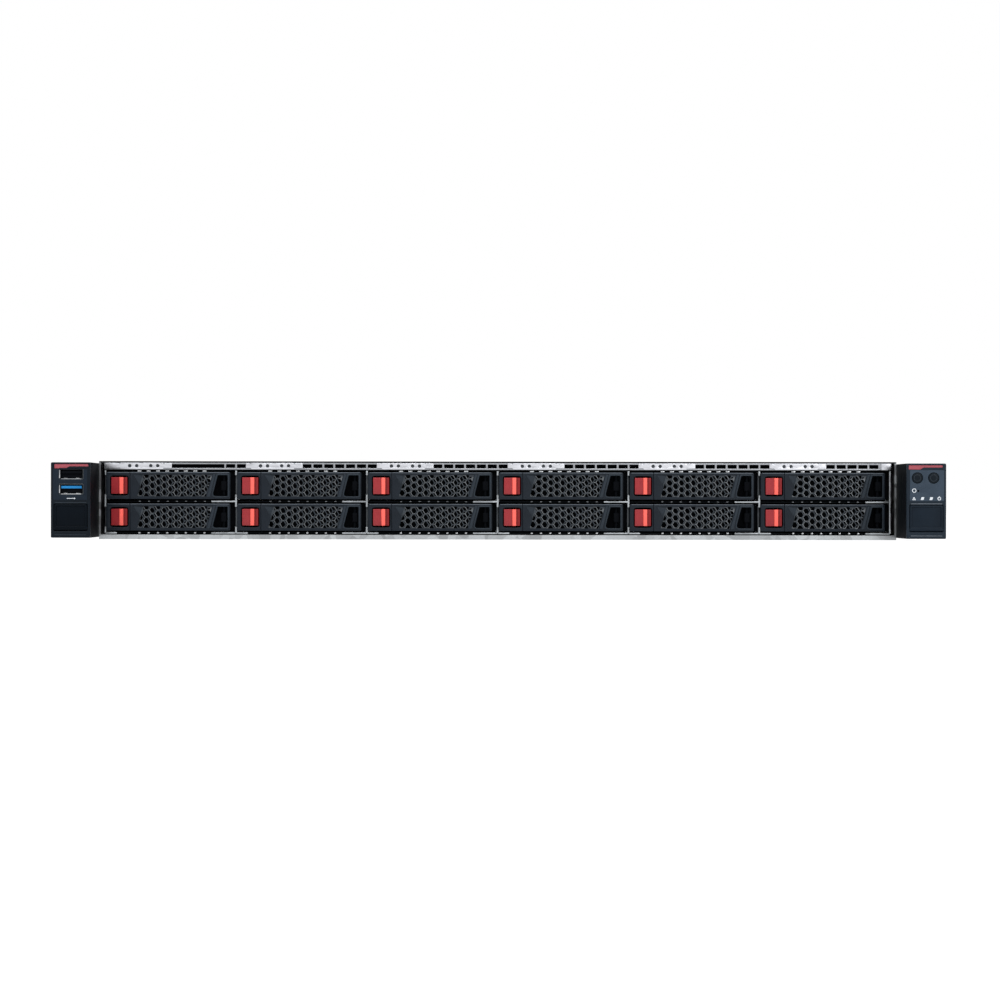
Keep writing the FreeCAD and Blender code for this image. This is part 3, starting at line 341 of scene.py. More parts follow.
@dataclass(frozen=True)
class CastMetal(Finish):
    """Die-cast or painted casing with a fine orange-peel surface."""

    metal: float = 0.9

    def paint(self, shader: Shader) -> None:
        """Set the shader's sockets."""
        base = tone(self.colour)
        peel = shader.noise(0.5, 3.0)
        cloud = shader.noise(18.0, 4.0)
        shader.set(
            Base_Color=shader.mix(shader.ramp(cloud, (0.3, 0.0), (0.7, 1.0)), shade(base, 0.88),
                                  shade(base, 1.07)),
            Metallic=self.metal,
            Roughness=shader.ramp(peel * 0.5 + cloud * 0.5, (0.3, self.roughness - 0.06),
                                  (0.7, self.roughness + 0.08)),
            Normal=shader.bump(peel, 0.01),
        )


@dataclass(frozen=True)
class CircuitBoard(Finish):
    """Solder mask over copper traces and vias."""

    def paint(self, shader: Shader) -> None:
        """Set the shader's sockets."""
        base = tone(self.colour)
        tracks = shader.node("ShaderNodeTexBrick", {"offset": 0.5, "squash": 0.6},
                             {"Vector": shader.place(), "Scale": 1 / (9.0 * MM), "Mortar Size": 0.05}, "Fac")
        vias = 1 - shader.cells(3.0).above(0.14)
        copper = shader.ramp(tracks * 0.7 + shader.noise(6.0, 2.0) * 0.3, (0.3, 0.0), (0.8, 1.0))
        shader.set(
            Base_Color=shader.mix(vias, shader.mix(copper, shade(base, 0.8), shade(base, 1.5)),
                                  tone("9A9468")),
            Metallic=vias * 0.8,
            Roughness=self.roughness,
            Specular_IOR_Level=0.5,
            Normal=shader.bump(tracks, 0.03),
        )


class Kit(Enum):
    """Every finish used on the server."""

    FACE = MouldedPlastic("charcoal_face", "131A22", 0.46, gloss=0.16)
    # lighter copy of the charcoal face plastic: painted highlight on the leaning facet, the raised band, the
    # window frame, the left ear's lines and the key rings
    FRAME = MouldedPlastic("charcoal_painted_highlight", "1F272F", 0.42, gloss=0.2)
    # lighter than the face plastic: painted highlight on the honeycomb webs
    MESH = MouldedPlastic("charcoal_mesh_painted_highlight", "262D34", 0.38, grain=0.3, gloss=0.4)
    # the ears' plastic in two copies: darker on the left, painted shade; lighter on the right, painted light
    EAR_LEFT = MouldedPlastic("ear_panel_left_painted_shade", "141D27", 0.46, gloss=0.1)
    EAR_RIGHT = MouldedPlastic("ear_panel_right_painted_light", "313C48", 0.46, gloss=0.1)
    FRAME_LEFT = MouldedPlastic("ear_frame_left_painted_shade", "0D141B", 0.46, gloss=0.1)
    FRAME_RIGHT = MouldedPlastic("ear_frame_right_painted_light", "1A232C", 0.46, gloss=0.1)
    # lighter copy of the charcoal plastic: painted highlight along top edges and lines
    EDGE = MouldedPlastic("edge_painted_highlight", "4E555D", 0.4, gloss=0.3)
    # near-black plastic, darkened further to paint the shade on side walls and in gaps
    SHELL = MouldedPlastic("ear_shell_painted_shade", "06090D", 0.62, gloss=0.05)
    # door plastic likewise: darker on the left, painted shade; lighter on the right, painted light
    DOOR_LEFT = MouldedPlastic("door_plastic_left_painted_shade", "050B12", 0.44, gloss=0.06)
    DOOR_RIGHT = MouldedPlastic("door_plastic_right_painted_light", "101A24", 0.44, gloss=0.1)
    KEYCAP = MouldedPlastic("key_plastic", "0C141B", 0.42, gloss=0.1)
    # black for black plastic parts, and for the dark sheets, rings and bars that paint shade in pockets, slots,
    # holes and recesses
    DARK = MouldedPlastic("black_and_painted_shade", "04060A", 0.7, gloss=0.05)
    FAN = MouldedPlastic("fan_plastic", "15171A", 0.5)
    RED = MouldedPlastic("button_red", "8C272C", 0.36, grain=0.3, depth=0.006, gloss=0.3)
    # the button red made lighter for the ridge, painted highlight, and darker for the flat beside it, painted
    # shade
    RIDGE = MouldedPlastic("button_ridge_painted_highlight", "E85E54", 0.34, grain=0.3, depth=0.006, gloss=0.3)
    SHADOW = MouldedPlastic("button_side_painted_shade", "75171A", 0.4, grain=0.3, depth=0.006, gloss=0.2)
    STRIPE = MouldedPlastic("stripe_red", "90474F", 0.42, depth=0.004)
    BLUE = MouldedPlastic("tongue_blue", "1E6FA8", 0.38, depth=0.004)
    PRINT = MouldedPlastic("printed_grey", "C6CBD0", 0.55, depth=0.003)
    LATCH = MouldedPlastic("latch_blue", "24406E", 0.42)
    TAB = MouldedPlastic("tab_red", "8E2024", 0.42)
    SHEET = GalvanisedSheet("chassis_zinc", "B4B8BB", 0.36)
    CAGE = GalvanisedSheet("cage_zinc", "A9AEB2", 0.34, spangle=3.0)
    COVER = GalvanisedSheet("cover_zinc", "8A8E91", 0.54, spangle=4.0)
    CASE = GalvanisedSheet("supply_zinc", "A8ACAF", 0.36, spangle=4.0)
    # the cage zinc half darkened: painted shade on the set-back dividers and the socket shells
    ZINC_HALF_SHADE = GalvanisedSheet("zinc_half_painted_shade", "54585C", 0.45, spangle=3.0)
    # the cage zinc darkened for the set-back floor, shelf and roof: painted shade
    ZINC_SHADE = GalvanisedSheet("zinc_painted_shade", "1A1D20", 0.5, spangle=3.0)
    PLATE = SatinMetal("plate_silver", "DCDEE4", 0.34)
    STRIP = SatinMetal("strip_steel", "A9ACB1", 0.34)
    NICKEL = SatinMetal("nickel", "C3C6C9", 0.24)
    SCREEN = GalvanisedSheet("screen_steel", "74787C", 0.3, spangle=5.0)
    STEEL = SatinMetal("bracket_steel", "8E9296", 0.38)
    GOLD = SatinMetal("contact_gold", "C9A45A", 0.28)
    FIN = SatinMetal("fin_aluminium", "B9BCC0", 0.34)
    DRIVE = CastMetal("drive_casting", "8B8E92", 0.42)
    LENS = MouldedPlastic("light_pipe", "20262C", 0.25, depth=0.002, gloss=0.6)
    BOARD = CircuitBoard("solder_mask", "14412C", 0.35)
    CHIP = MouldedPlastic("chip_black", "16181A", 0.4, grain=0.2)
    VIDEO = MouldedPlastic("port_blue", "1B4A8C", 0.42)
    GLOW = MouldedPlastic("indicator_green", "5FA35E", 0.3, depth=0.002)


# ---- flat outlines ----------------------------------------------------------
def rectangle(x: Span, z: Span) -> list[Point]:
    """Return the corners of a rectangle."""
    return [(x[0], z[0]), (x[1], z[0]), (x[1], z[1]), (x[0], z[1])]


def softened(corners: list[Point], radii: float | list[float], steps: int = 4) -> list[Point]:
    """Round a polygon's corners.

    Args:
        corners: the polygon's corners in order.
        radii: one radius for all corners, or one for each.
        steps: points per corner less one.

    Returns:
        The rounded outline.
    """
    rounded: list[Point] = []
    count = len(corners)
    for index, corner in enumerate(corners):
        radius = radii[index] if isinstance(radii, list) else radii
        here = Vector(corner)
        to_last = Vector(corners[index - 1]) - here
        to_next = Vector(corners[(index + 1) % count]) - here
        reach = radius / math.tan(to_last.angle(to_next) / 2) if radius > 0 else 0.0
        reach = min(reach, to_last.length / 2.01, to_next.length / 2.01)
        if reach <= 1e-6:
            rounded.append(corner)
            continue
        start = here + to_last.normalized() * reach
        end = here + to_next.normalized() * reach
        for step in range(steps + 1):
            t = step / steps
            point = start * (1 - t) ** 2 + here * 2 * t * (1 - t) + end * t ** 2
            rounded.append((point.x, point.y))
    return rounded


def disc(x: float, z: float, radius: float, sides: int = 28, turn: float = 0.0) -> list[Point]:
    """Return a regular polygon round a point."""
    return [(x + radius * math.cos(turn + 2 * math.pi * i / sides),
             z + radius * math.sin(turn + 2 * math.pi * i / sides)) for i in range(sides)]


def signed_area(outline: list[Point]) -> float:
    """Return an outline's area, positive when it turns left."""
    total = 0.0
    for (x0, z0), (x1, z1) in zip(outline, outline[1:] + outline[:1]):
        total += x0 * z1 - x1 * z0
    return total / 2


def clipped(shape: list[Point], fence: list[Point]) -> list[Point]:
    """Cut a convex outline by a convex fence that turns left, and return what is inside."""
    for (ax, az), (bx, bz) in zip(fence, fence[1:] + fence[:1]):
        kept: list[Point] = []
        side = [(bx - ax) * (z - az) - (bz - az) * (x - ax) for x, z in shape]
        for index, (point, value) in enumerate(zip(shape, side)):
            last, last_value = shape[index - 1], side[index - 1]
            if (value >= 0) != (last_value >= 0):
                t = last_value / (last_value - value)
                kept.append((last[0] + t * (point[0] - last[0]), last[1] + t * (point[1] - last[1])))
            if value >= 0:
                kept.append(point)
        shape = kept
        if len(shape) < 3:
            return []
    return shape


def honeycomb(fence: list[Point], pitch: float, web: float, middle: Point,
              least: float = 0.14) -> list[list[Point]]:
    """Fill a fence with hexagonal holes, cut where they meet it.

    Args:
        fence: convex outline of the field, turning left.
        pitch: distance between the middles of neighbouring cells.
        web: width of the walls between cells.
        middle: a point that one cell is centred on.
        least: smallest part of a whole cell that is kept.

    Returns:
        The outline of each hole.
    """
    radius = (pitch - web) / math.sqrt(3)
    spacing = pitch * math.sqrt(3) / 2
    whole = signed_area(disc(0, 0, radius, 6))
    reach_x = int((max(p[0] for p in fence) - min(p[0] for p in fence)) / spacing) + 2
    reach_z = int((max(p[1] for p in fence) - min(p[1] for p in fence)) / pitch) + 2
    cells = []
    for column in range(-reach_x, reach_x + 1):
        for row in range(-reach_z, reach_z + 1):
            x = middle[0] + column * spacing
            z = middle[1] + (row + 0.5 * (column % 2)) * pitch
            cell = clipped(disc(x, z, radius, 6), fence)
            if cell and signed_area(cell) > least * whole:
                cells.append(cell)
    return cells


# ---- building meshes ---------------------------------------------------------
class Plane(Enum):
    """Plane that an outline is drawn in, and so the axis that it is drawn out along."""

    FRONT = "x, z drawn out along y"
    TOP = "x, y drawn out along z"

    def turned(self, u: float, v: float, w: float) -> Vector:
        """Return the point at u, v of the outline and w along the third axis."""
        if self is Plane.FRONT:
            return Vector((u, w, v))
        return Vector((u, v, w))


class Workpiece:
    """A mesh put together from blocks, rods and cut plates, each with its own finish."""

    def __init__(self) -> None:
        """Start empty."""
        self.points: list[Vector] = []
        self.faces: list[list[int]] = []
        self.marks: list[int] = []
        self.kits: list[Kit] = []

    def _add(self, mesh: bmesh.types.BMesh, kit: Kit) -> None:
        """Take in a mesh and free it."""
        if kit not in self.kits:
            self.kits.append(kit)
        bmesh.ops.recalc_face_normals(mesh, faces=mesh.faces)
        start = len(self.points)
        mesh.verts.index_update()
        self.points += [v.co.copy() for v in mesh.verts]
        for face in mesh.faces:
            self.faces.append([start + v.index for v in face.verts])
            self.marks.append(self.kits.index(kit))
        mesh.free()

    def block(self, x: Span, y: Span, z: Span, kit: Kit, bevel: float = 0.15) -> None:
        """Add a box with softened edges.

        Args:
            x: low and high end along X, in either order.
            y: the same along Y.
            z: the same along Z.
            kit: its finish.
            bevel: width of the softened edges.
        """
        spans = [sorted(span) for span in (x, y, z)]
        size = Vector([high - low for low, high in spans])
        middle = Vector([(high + low) / 2 for low, high in spans])
        mesh = bmesh.new()
        bmesh.ops.create_cube(mesh, size=1.0,
                              matrix=Matrix.Translation(middle) @ Matrix.Diagonal((*size, 1.0)))
        width = min(bevel, min(size) * 0.45)
        if width > 0:
            bmesh.ops.bevel(mesh, geom=list(mesh.edges), offset=width, segments=2, profile=0.6,
                            affect="EDGES")
        self._add(mesh, kit)

    def rod(self, start: Vector, end: Vector, radius: float, kit: Kit, bevel: float = 0.1,
            sides: int = 28) -> None:
        """Add a round bar with softened rims.

        Args:
            start: middle of one end.
            end: middle of the other end.
            radius: half its thickness.
            kit: its finish.
            bevel: width of the softened rims.
            sides: number of flats that stand for the round.
        """
        run = end - start
        turn = run.to_track_quat("Z", "Y").to_matrix().to_4x4()
        mesh = bmesh.new()
        bmesh.ops.create_cone(mesh, cap_ends=True, segments=sides, radius1=radius, radius2=radius,
                              depth=run.length,
                              matrix=Matrix.Translation((start + end) / 2) @ turn)
        rims = [e for e in mesh.edges if any(len(f.verts) > 4 for f in e.link_faces)]
        width = min(bevel, radius * 0.5, run.length * 0.4)
        if width > 0:
            bmesh.ops.bevel(mesh, geom=rims, offset=width, segments=2, profile=0.6, affect="EDGES")
        self._add(mesh, kit)

    def plate(self, outline: list[Point], holes: list[list[Point]], plane: Plane, span: Span, kit: Kit,
              bevel: float = 0.1) -> None:
        """Add a plate with holes and softened rims.

        Args:
            outline: its outer edge.
            holes: the edges of its holes.
            plane: plane that the outline is drawn in.
            span: low and high end along the third axis.
            kit: its finish.
            bevel: width of the softened rims.
        """
        low, high = sorted(span)
        width = min(bevel, (high - low) * 0.45)
        curve = bpy.data.curves.new("outline", "CURVE")
        curve.dimensions = "2D"
        curve.fill_mode = "BOTH"
        curve.extrude = (high - low) / 2 - width
        curve.bevel_depth = width
        curve.bevel_resolution = 1
        curve.offset = -width
        for index, ring in enumerate([outline] + holes):
            left = signed_area(ring) > 0
            ring = ring if left == (index == 0) else ring[::-1]
            spline = curve.splines.new("POLY")
            spline.points.add(len(ring) - 1)
            for point, (u, v) in zip(spline.points, ring):
                point.co = (u, v, 0.0, 1.0)
            spline.use_cyclic_u = True
        holder = bpy.data.objects.new("outline", curve)
        drawn = bpy.data.meshes.new_from_object(holder)
        mesh = bmesh.new()
        mesh.from_mesh(drawn)
        bpy.data.objects.remove(holder)
        bpy.data.curves.remove(curve)
        bpy.data.meshes.remove(drawn)
        bmesh.ops.remove_doubles(mesh, verts=mesh.verts, dist=1e-4)
        for vert in mesh.verts:
            vert.co = plane.turned(vert.co.x, vert.co.y, vert.co.z + (low + high) / 2)
        self._add(mesh, kit)

    def facet(self, corners: list[Vector], thickness: float, kit: Kit) -> None:
        """Add a thin flat piece through corners in any plane, thick along +Y."""
        mesh = bmesh.new()
        front = [mesh.verts.new(c) for c in corners]
        back = [mesh.verts.new(c + Vector((0, thickness, 0))) for c in corners]
        mesh.faces.new(front)
        mesh.faces.new(back[::-1])
        for index in range(len(corners)):
            mesh.faces.new((front[index - 1], front[index], back[index], back[index - 1]))
        self._add(mesh, kit)

    def mesh(self, name: str) -> bpy.types.Mesh:
        """Return the finished mesh in metres, shaded smooth but for its sharp edges."""
        data = bpy.data.meshes.new(name)
        data.from_pydata([p * MM for p in self.points], [], self.faces)
        for kit in self.kits:
            data.materials.append(kit.value.material())
        data.polygons.foreach_set("material_index", self.marks)
        data.update()
        data.shade_smooth()
        data.set_sharp_from_angle(angle=math.radians(32))
        return data


def placed(name: str, data: bpy.types.Mesh, body: str, at: Vector | None = None,
           stands_for: tuple[str, ...] = ()) -> bpy.types.Object:
    """Put a mesh in the scene as a piece that rides on a body.

    Args:
        name: the piece's name.
        data: its mesh, which other pieces may share.
        body: body that it rides on.
        at: its origin in millimetres.
        stands_for: CAD nodes that it replaces.

    Returns:
        The new object.
    """
    piece = bpy.data.objects.new(name, data)
    bpy.context.scene.collection.objects.link(piece)
    piece.location = (at or Vector((0, 0, 0))) * MM
    bpy.context.view_layer.update()
    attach(piece, body)
    if stands_for:
        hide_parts(*stands_for)
    return piece


def node_box(name: str) -> tuple[Vector, Vector]:
    """Return a CAD node's low and high corners in millimetres."""
    low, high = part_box(name)
    return Vector(low) / MM, Vector(high) / MM


def dress(kit: Kit, *names: str) -> None:
    """Give CAD nodes a finish."""
    for name in names:
        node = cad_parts[name]
        if not node.material_slots:
            node.data.materials.append(None)
        for slot in node.material_slots:
            slot.link = "OBJECT"
            slot.material = kit.value.material()


# ---- drive bays ---------------------------------------------------------------
@dataclass
class Carrier:
    """One hot-swap carrier, drawn in its bay: X from the divider, Y from the cage front, Z from the floor."""

    face_left: float = 0.7
    face_right: float = 69.1
    face_middle: float = 8.3
    face_height: float = 14.9
    front: float = -1.0
    block_right: float = 13.7
    button_left: float = 3.5
    button_width: float = 8.8
    button_height: float = 9.1
    button_node_height: float = 8.7
    pocket: tuple[Span, float] = ((2.8, 13.0), 11.0)
    pocket_back: float = 4.5
    back_plate: Span = (4.75, 6.42)
    tray: Span = (0.625, 71.575)
    drive_y: Span = (6.72, 107.17)
    lever_left: float = 13.9
    lever_skin: float = 1.6
    lever_back: float = 3.0
    pin: Point = (65.5, 1.8)
    field_low: Span = (17.7, 55.6)
    field_high: Span = (21.3, 59.2)
    field_height: float = 11.9
    cell_pitch: float = 3.73
    cell_web: float = 0.46
    window_low: Span = (59.2, 67.7)
    window_high: Span = (62.2, 67.7)
    window_height: float = 11.6

    def span(self, height: float) -> Span:
        """Return the low and high Z of something centred on the face."""
        return (self.face_middle - height / 2, self.face_middle + height / 2)

    def field(self) -> list[Point]:
        """Return the grille's leaning field."""
        low, high = self.span(self.field_height)
        return [(self.field_low[0], low), (self.field_low[1], low),
                (self.field_high[1], high), (self.field_high[0], high)]

    def window(self, grow: float = 0.0) -> list[Point]:
        """Return the leaning window's outline, grown outwards by a distance."""
        low, high = self.span(self.window_height + 2 * grow)
        corners = [(self.window_low[0] - grow, low), (self.window_low[1] + grow, low),
                   (self.window_high[1] + grow, high), (self.window_high[0] - grow, high)]
        return softened(corners, [1.6 + grow, 0.5 + grow, 0.5 + grow, 0.4 + grow])

    def bezel(self) -> bpy.types.Mesh:
        """Return the button block, back plate, claw, tray rails and drive."""
        work = Workpiece()
        low, high = self.span(self.face_height)
        pocket_x, pocket_height = self.pocket
        pocket = softened(rectangle(pocket_x, self.span(pocket_height)), 1.7)
        face = softened(rectangle((self.face_left, self.block_right), (low, high)), [0.8, 0.15, 0.15, 0.8])
        work.plate(face, [pocket], Plane.FRONT, (self.front, self.pocket_back), Kit.FACE, 0.22)
        # dark ring round the button pocket: painted shade in the gap
        pocket_shade_ring = softened(rectangle((pocket_x[0] - 0.5, pocket_x[1] + 0.5), self.span(pocket_height + 1.0)),
                          1.9)
        inner = softened(rectangle((pocket_x[0] + 0.12, pocket_x[1] - 0.12),
                                   self.span(pocket_height - 0.24)), 1.6)
        work.plate(pocket_shade_ring, [inner], Plane.FRONT, (self.front + 0.7, self.pocket_back - 0.1), Kit.DARK, 0.05)
        # thin lighter strip along the face's top edge: painted highlight
        work.block((self.face_left + 0.8, self.block_right - 0.1), (self.front - 0.02, self.front + 0.8),
                   (high - 0.42, high - 0.06), Kit.EDGE, 0.1)
        work.block((self.face_left, self.block_right), (self.pocket_back, self.back_plate[1]), (low, high),
                   Kit.DARK)
        opening = rectangle((self.field_low[0], self.field_high[1]), self.span(self.window_height))
        back = rectangle((self.block_right - 0.3, self.tray[1]), (low, high))
        work.plate(back, [opening], Plane.FRONT, self.back_plate, Kit.DARK, 0.1)
        claw_low, claw_high = self.span(5.0)
        for x in (self.pin[0] - 1.58, self.pin[0] + 1.08):
            work.block((x, x + 0.5), (self.pin[1] - 1.58, self.back_plate[0]), (claw_low, claw_high),
                       Kit.DARK, 0.08)
        work.block((self.pin[0] - 1.58, self.pin[0] + 1.58), (self.pin[1] - 1.58, self.pin[1] - 1.08),
                   (claw_low, claw_high), Kit.DARK, 0.08)
        # black sheet over the drive's front so the honeycomb cells read black: painted shade
        work.block((self.tray[0] + 1, self.tray[1] - 1), (self.drive_y[0] - 0.25, self.drive_y[0] - 0.05),
                   self.span(self.face_height - 0.4), Kit.DARK, 0.02)
        self._tray(work)
        self._drive(work)
        return work.mesh("drive_carrier")

    def _tray(self, work: Workpiece) -> None:
        """Add the two steel side rails."""
        for side, x in ((1, self.tray[0]), (-1, self.tray[1])):
            work.block((x, x + side * 0.55), (self.back_plate[1], self.drive_y[1]), (0.25, 15.85),
                       Kit.NICKEL, 0.08)

    def _drive(self, work: Workpiece) -> None:
        """Add the drive: cast body, stepped lid with its screws and a dark block at its back."""
        left, right = self.tray[0] + 0.55, self.tray[1] - 0.55
        front, back = self.drive_y
        low = self.face_middle - 7.5
        work.block((left, right), (front, back), (low, low + 13.6), Kit.DRIVE, 0.6)
        lid = softened(rectangle((left + 0.8, right - 0.8), (front + 0.8, back - 6.0)), 2.0)
        work.plate(lid, [], Plane.TOP, (low + 13.5, low + 14.95), Kit.FIN, 0.4)
        for x in (left + 4.0, right - 4.0):
            for y in (front + 4.0, front + 48.0, back - 10.0):
                work.rod(Vector((x, y, low + 14.6)), Vector((x, y, low + 14.98)), 1.6, Kit.NICKEL, 0.1, 20)
        work.block((left + 14, right - 14), (back - 3.0, back), (low + 0.4, low + 4.4), Kit.DARK, 0.2)

    def lever(self) -> bpy.types.Mesh:
        """Return the ejector lever: framed face, honeycomb, screen, window frame, ribs and pin."""
        work = Workpiece()
        low, high = self.span(self.face_height)
        skin_back = self.front + self.lever_skin
        field = self.field()
        facet = [(15.9, field[3][1]), (19.35, 8.2)]
        field_hole = field + [facet[0], facet[1]]
        outline = softened(rectangle((self.lever_left, self.face_right), (low, high)), [0.15, 0.7, 0.7, 0.15])
        work.plate(outline, [field_hole, self.window()], Plane.FRONT, (self.front, skin_back - 0.1),
                   Kit.FACE, 0.2)
        self._grille(work, field)
        # thin lighter strip along the lever's top edge: painted highlight
        work.block((self.lever_left + 0.1, self.face_right - 0.7), (self.front - 0.02, self.front + 0.8),
                   (high - 0.42, high - 0.06), Kit.EDGE, 0.1)
        # the facet and the band are the face plastic made lighter: painted highlight where they face the light
        front = self.front + 0.06
        work.facet([Vector((facet[0][0], front, facet[0][1])),
                    Vector((field[3][0], front + 0.75, field[3][1])),
                    Vector((facet[1][0], front + 0.75, facet[1][1]))], 0.6, Kit.FRAME)
        band_low = (self.field_low[1] + 0.5, self.window_low[0] - 1.35)
        band_high = (self.field_high[1] + 0.5, self.window_high[0] - 1.25)
        band_z = self.span(self.field_height + 0.7)
        band = [(band_low[0], band_z[0]), (band_low[1], band_z[0]), (band_high[1], band_z[1]),
                (band_high[0], band_z[1])]
        work.plate(softened(band, 0.35), [], Plane.FRONT, (self.front - 0.22, self.front + 0.3), Kit.FRAME,
                   0.14)
        # window frame in the lighter charcoal: painted highlight
        work.plate(self.window(0.85), [self.window()], Plane.FRONT, (self.front - 0.3, self.front + 0.5),
                   Kit.FRAME, 0.16)
        for z in (low, high - 1.4):
            work.block((self.lever_left, self.pin[0] + 1.2), (skin_back - 0.5, self.lever_back), (z, z + 1.4),
                       Kit.DARK, 0.1)
        work.block((self.lever_left, self.lever_left + 1.4), (skin_back - 0.5, self.lever_back),
                   (low + 1.3, high - 1.3), Kit.DARK, 0.1)
        work.rod(Vector((self.pin[0], self.pin[1], low + 1.2)),
                 Vector((self.pin[0], self.pin[1], high - 1.2)),
                 0.98, Kit.DARK, 0.0, 24)
        return work.mesh("carrier_lever")

    def _grille(self, work: Workpiece, field: list[Point]) -> None:
        """Add the sunken honeycomb and the stamped steel screen behind it."""
        low, high = field[0][1], field[2][1]
        lean = (field[3][0] - field[0][0]) / (high - low)
        rim = 0.55
        border = [(x + dx + lean * dz, z + dz) for (x, z), dx, dz in
                  zip(field, (-rim, rim, rim, -rim), (-rim, -rim, rim, rim))]
        middle = ((field[0][0] + field[2][0]) / 2, self.face_middle - 0.25)
        front = self.front + 0.42
        work.plate(border, honeycomb(field, self.cell_pitch, self.cell_web, middle), Plane.FRONT,
                   (front, front + 0.95), Kit.MESH, 0.12)
        shifted = (middle[0] - 2.0, middle[1] + 2.3)
        work.plate(border, honeycomb(field, self.cell_pitch * 1.035, 0.45, shifted), Plane.FRONT,
                   (front + 1.3, front + 1.6), Kit.SCREEN, 0.06)

    def button(self) -> bpy.types.Mesh:
        """Return the press button: ribbed ramp, sharp ridge and the flat beside it."""
        work = Workpiece()
        left = self.button_left
        right = left + self.button_width
        back = self.front + 4.0
        crest = self.front - 0.98
        ramp = [(left, back), (left, self.front + 0.45), (left + 4.35, self.front - 0.5), (left + 4.45, back)]
        ridge = [(left + 4.45, back), (left + 4.45, self.front - 0.5), (left + 4.75, crest),
                 (left + 6.5, crest),
                 (left + 6.75, crest + 0.3), (left + 6.75, back)]
        side = [(left + 6.75, back), (left + 6.75, self.front + 0.7), (left + 7.15, self.front + 0.7),
                (left + 7.2, self.front + 0.05), (right, self.front + 0.15), (right, back)]
        height = self.span(self.button_height)
        work.plate(ramp, [], Plane.TOP, height, Kit.RED, 0.12)
        # ridge in lighter red, painted highlight; flat beside it in darker red, painted shade
        work.plate(ridge, [], Plane.TOP, height, Kit.RIDGE, 0.14)
        work.plate(side, [], Plane.TOP, height, Kit.SHADOW, 0.1)
        ribs = 8
        low, high = self.span(self.button_height - 1.4)
        for index in range(ribs):
            z = low + (high - low) * index / (ribs - 1)
            outer, inner = Vector((left + 0.3, self.front + 0.26, z)), Vector((left + 4.3, self.front - 0.62,
                                                                               z))
            rise = Vector((0, 0, 0.17))
            work.facet([outer - rise, inner - rise, inner + rise, outer + rise], 0.5, Kit.RED)
        return work.mesh("release_button")

    def build(self) -> None:
        """Make the twelve carriers, levers and buttons."""
        bezel, lever, button = self.bezel(), self.lever(), self.button()
        for number in range(1, 13):
            tag = "%02d" % number
            corner = node_box("release_button_" + tag)[0]
            cage = node_box("drive_cage")[0]
            at = Vector((corner.x - self.button_left, cage.y,
                         corner.z - self.span(self.button_node_height)[0]))
            placed("bay_carrier_" + tag, bezel, "carrier_" + tag, at, ("drive_carrier_" + tag,))
            placed("bay_lever_" + tag, lever, "lever_" + tag, at, ("carrier_lever_" + tag,))
            placed("bay_button_" + tag, button, "button_" + tag, at, ("release_button_" + tag,))
        log.info("carriers, levers and buttons: 12 of each")


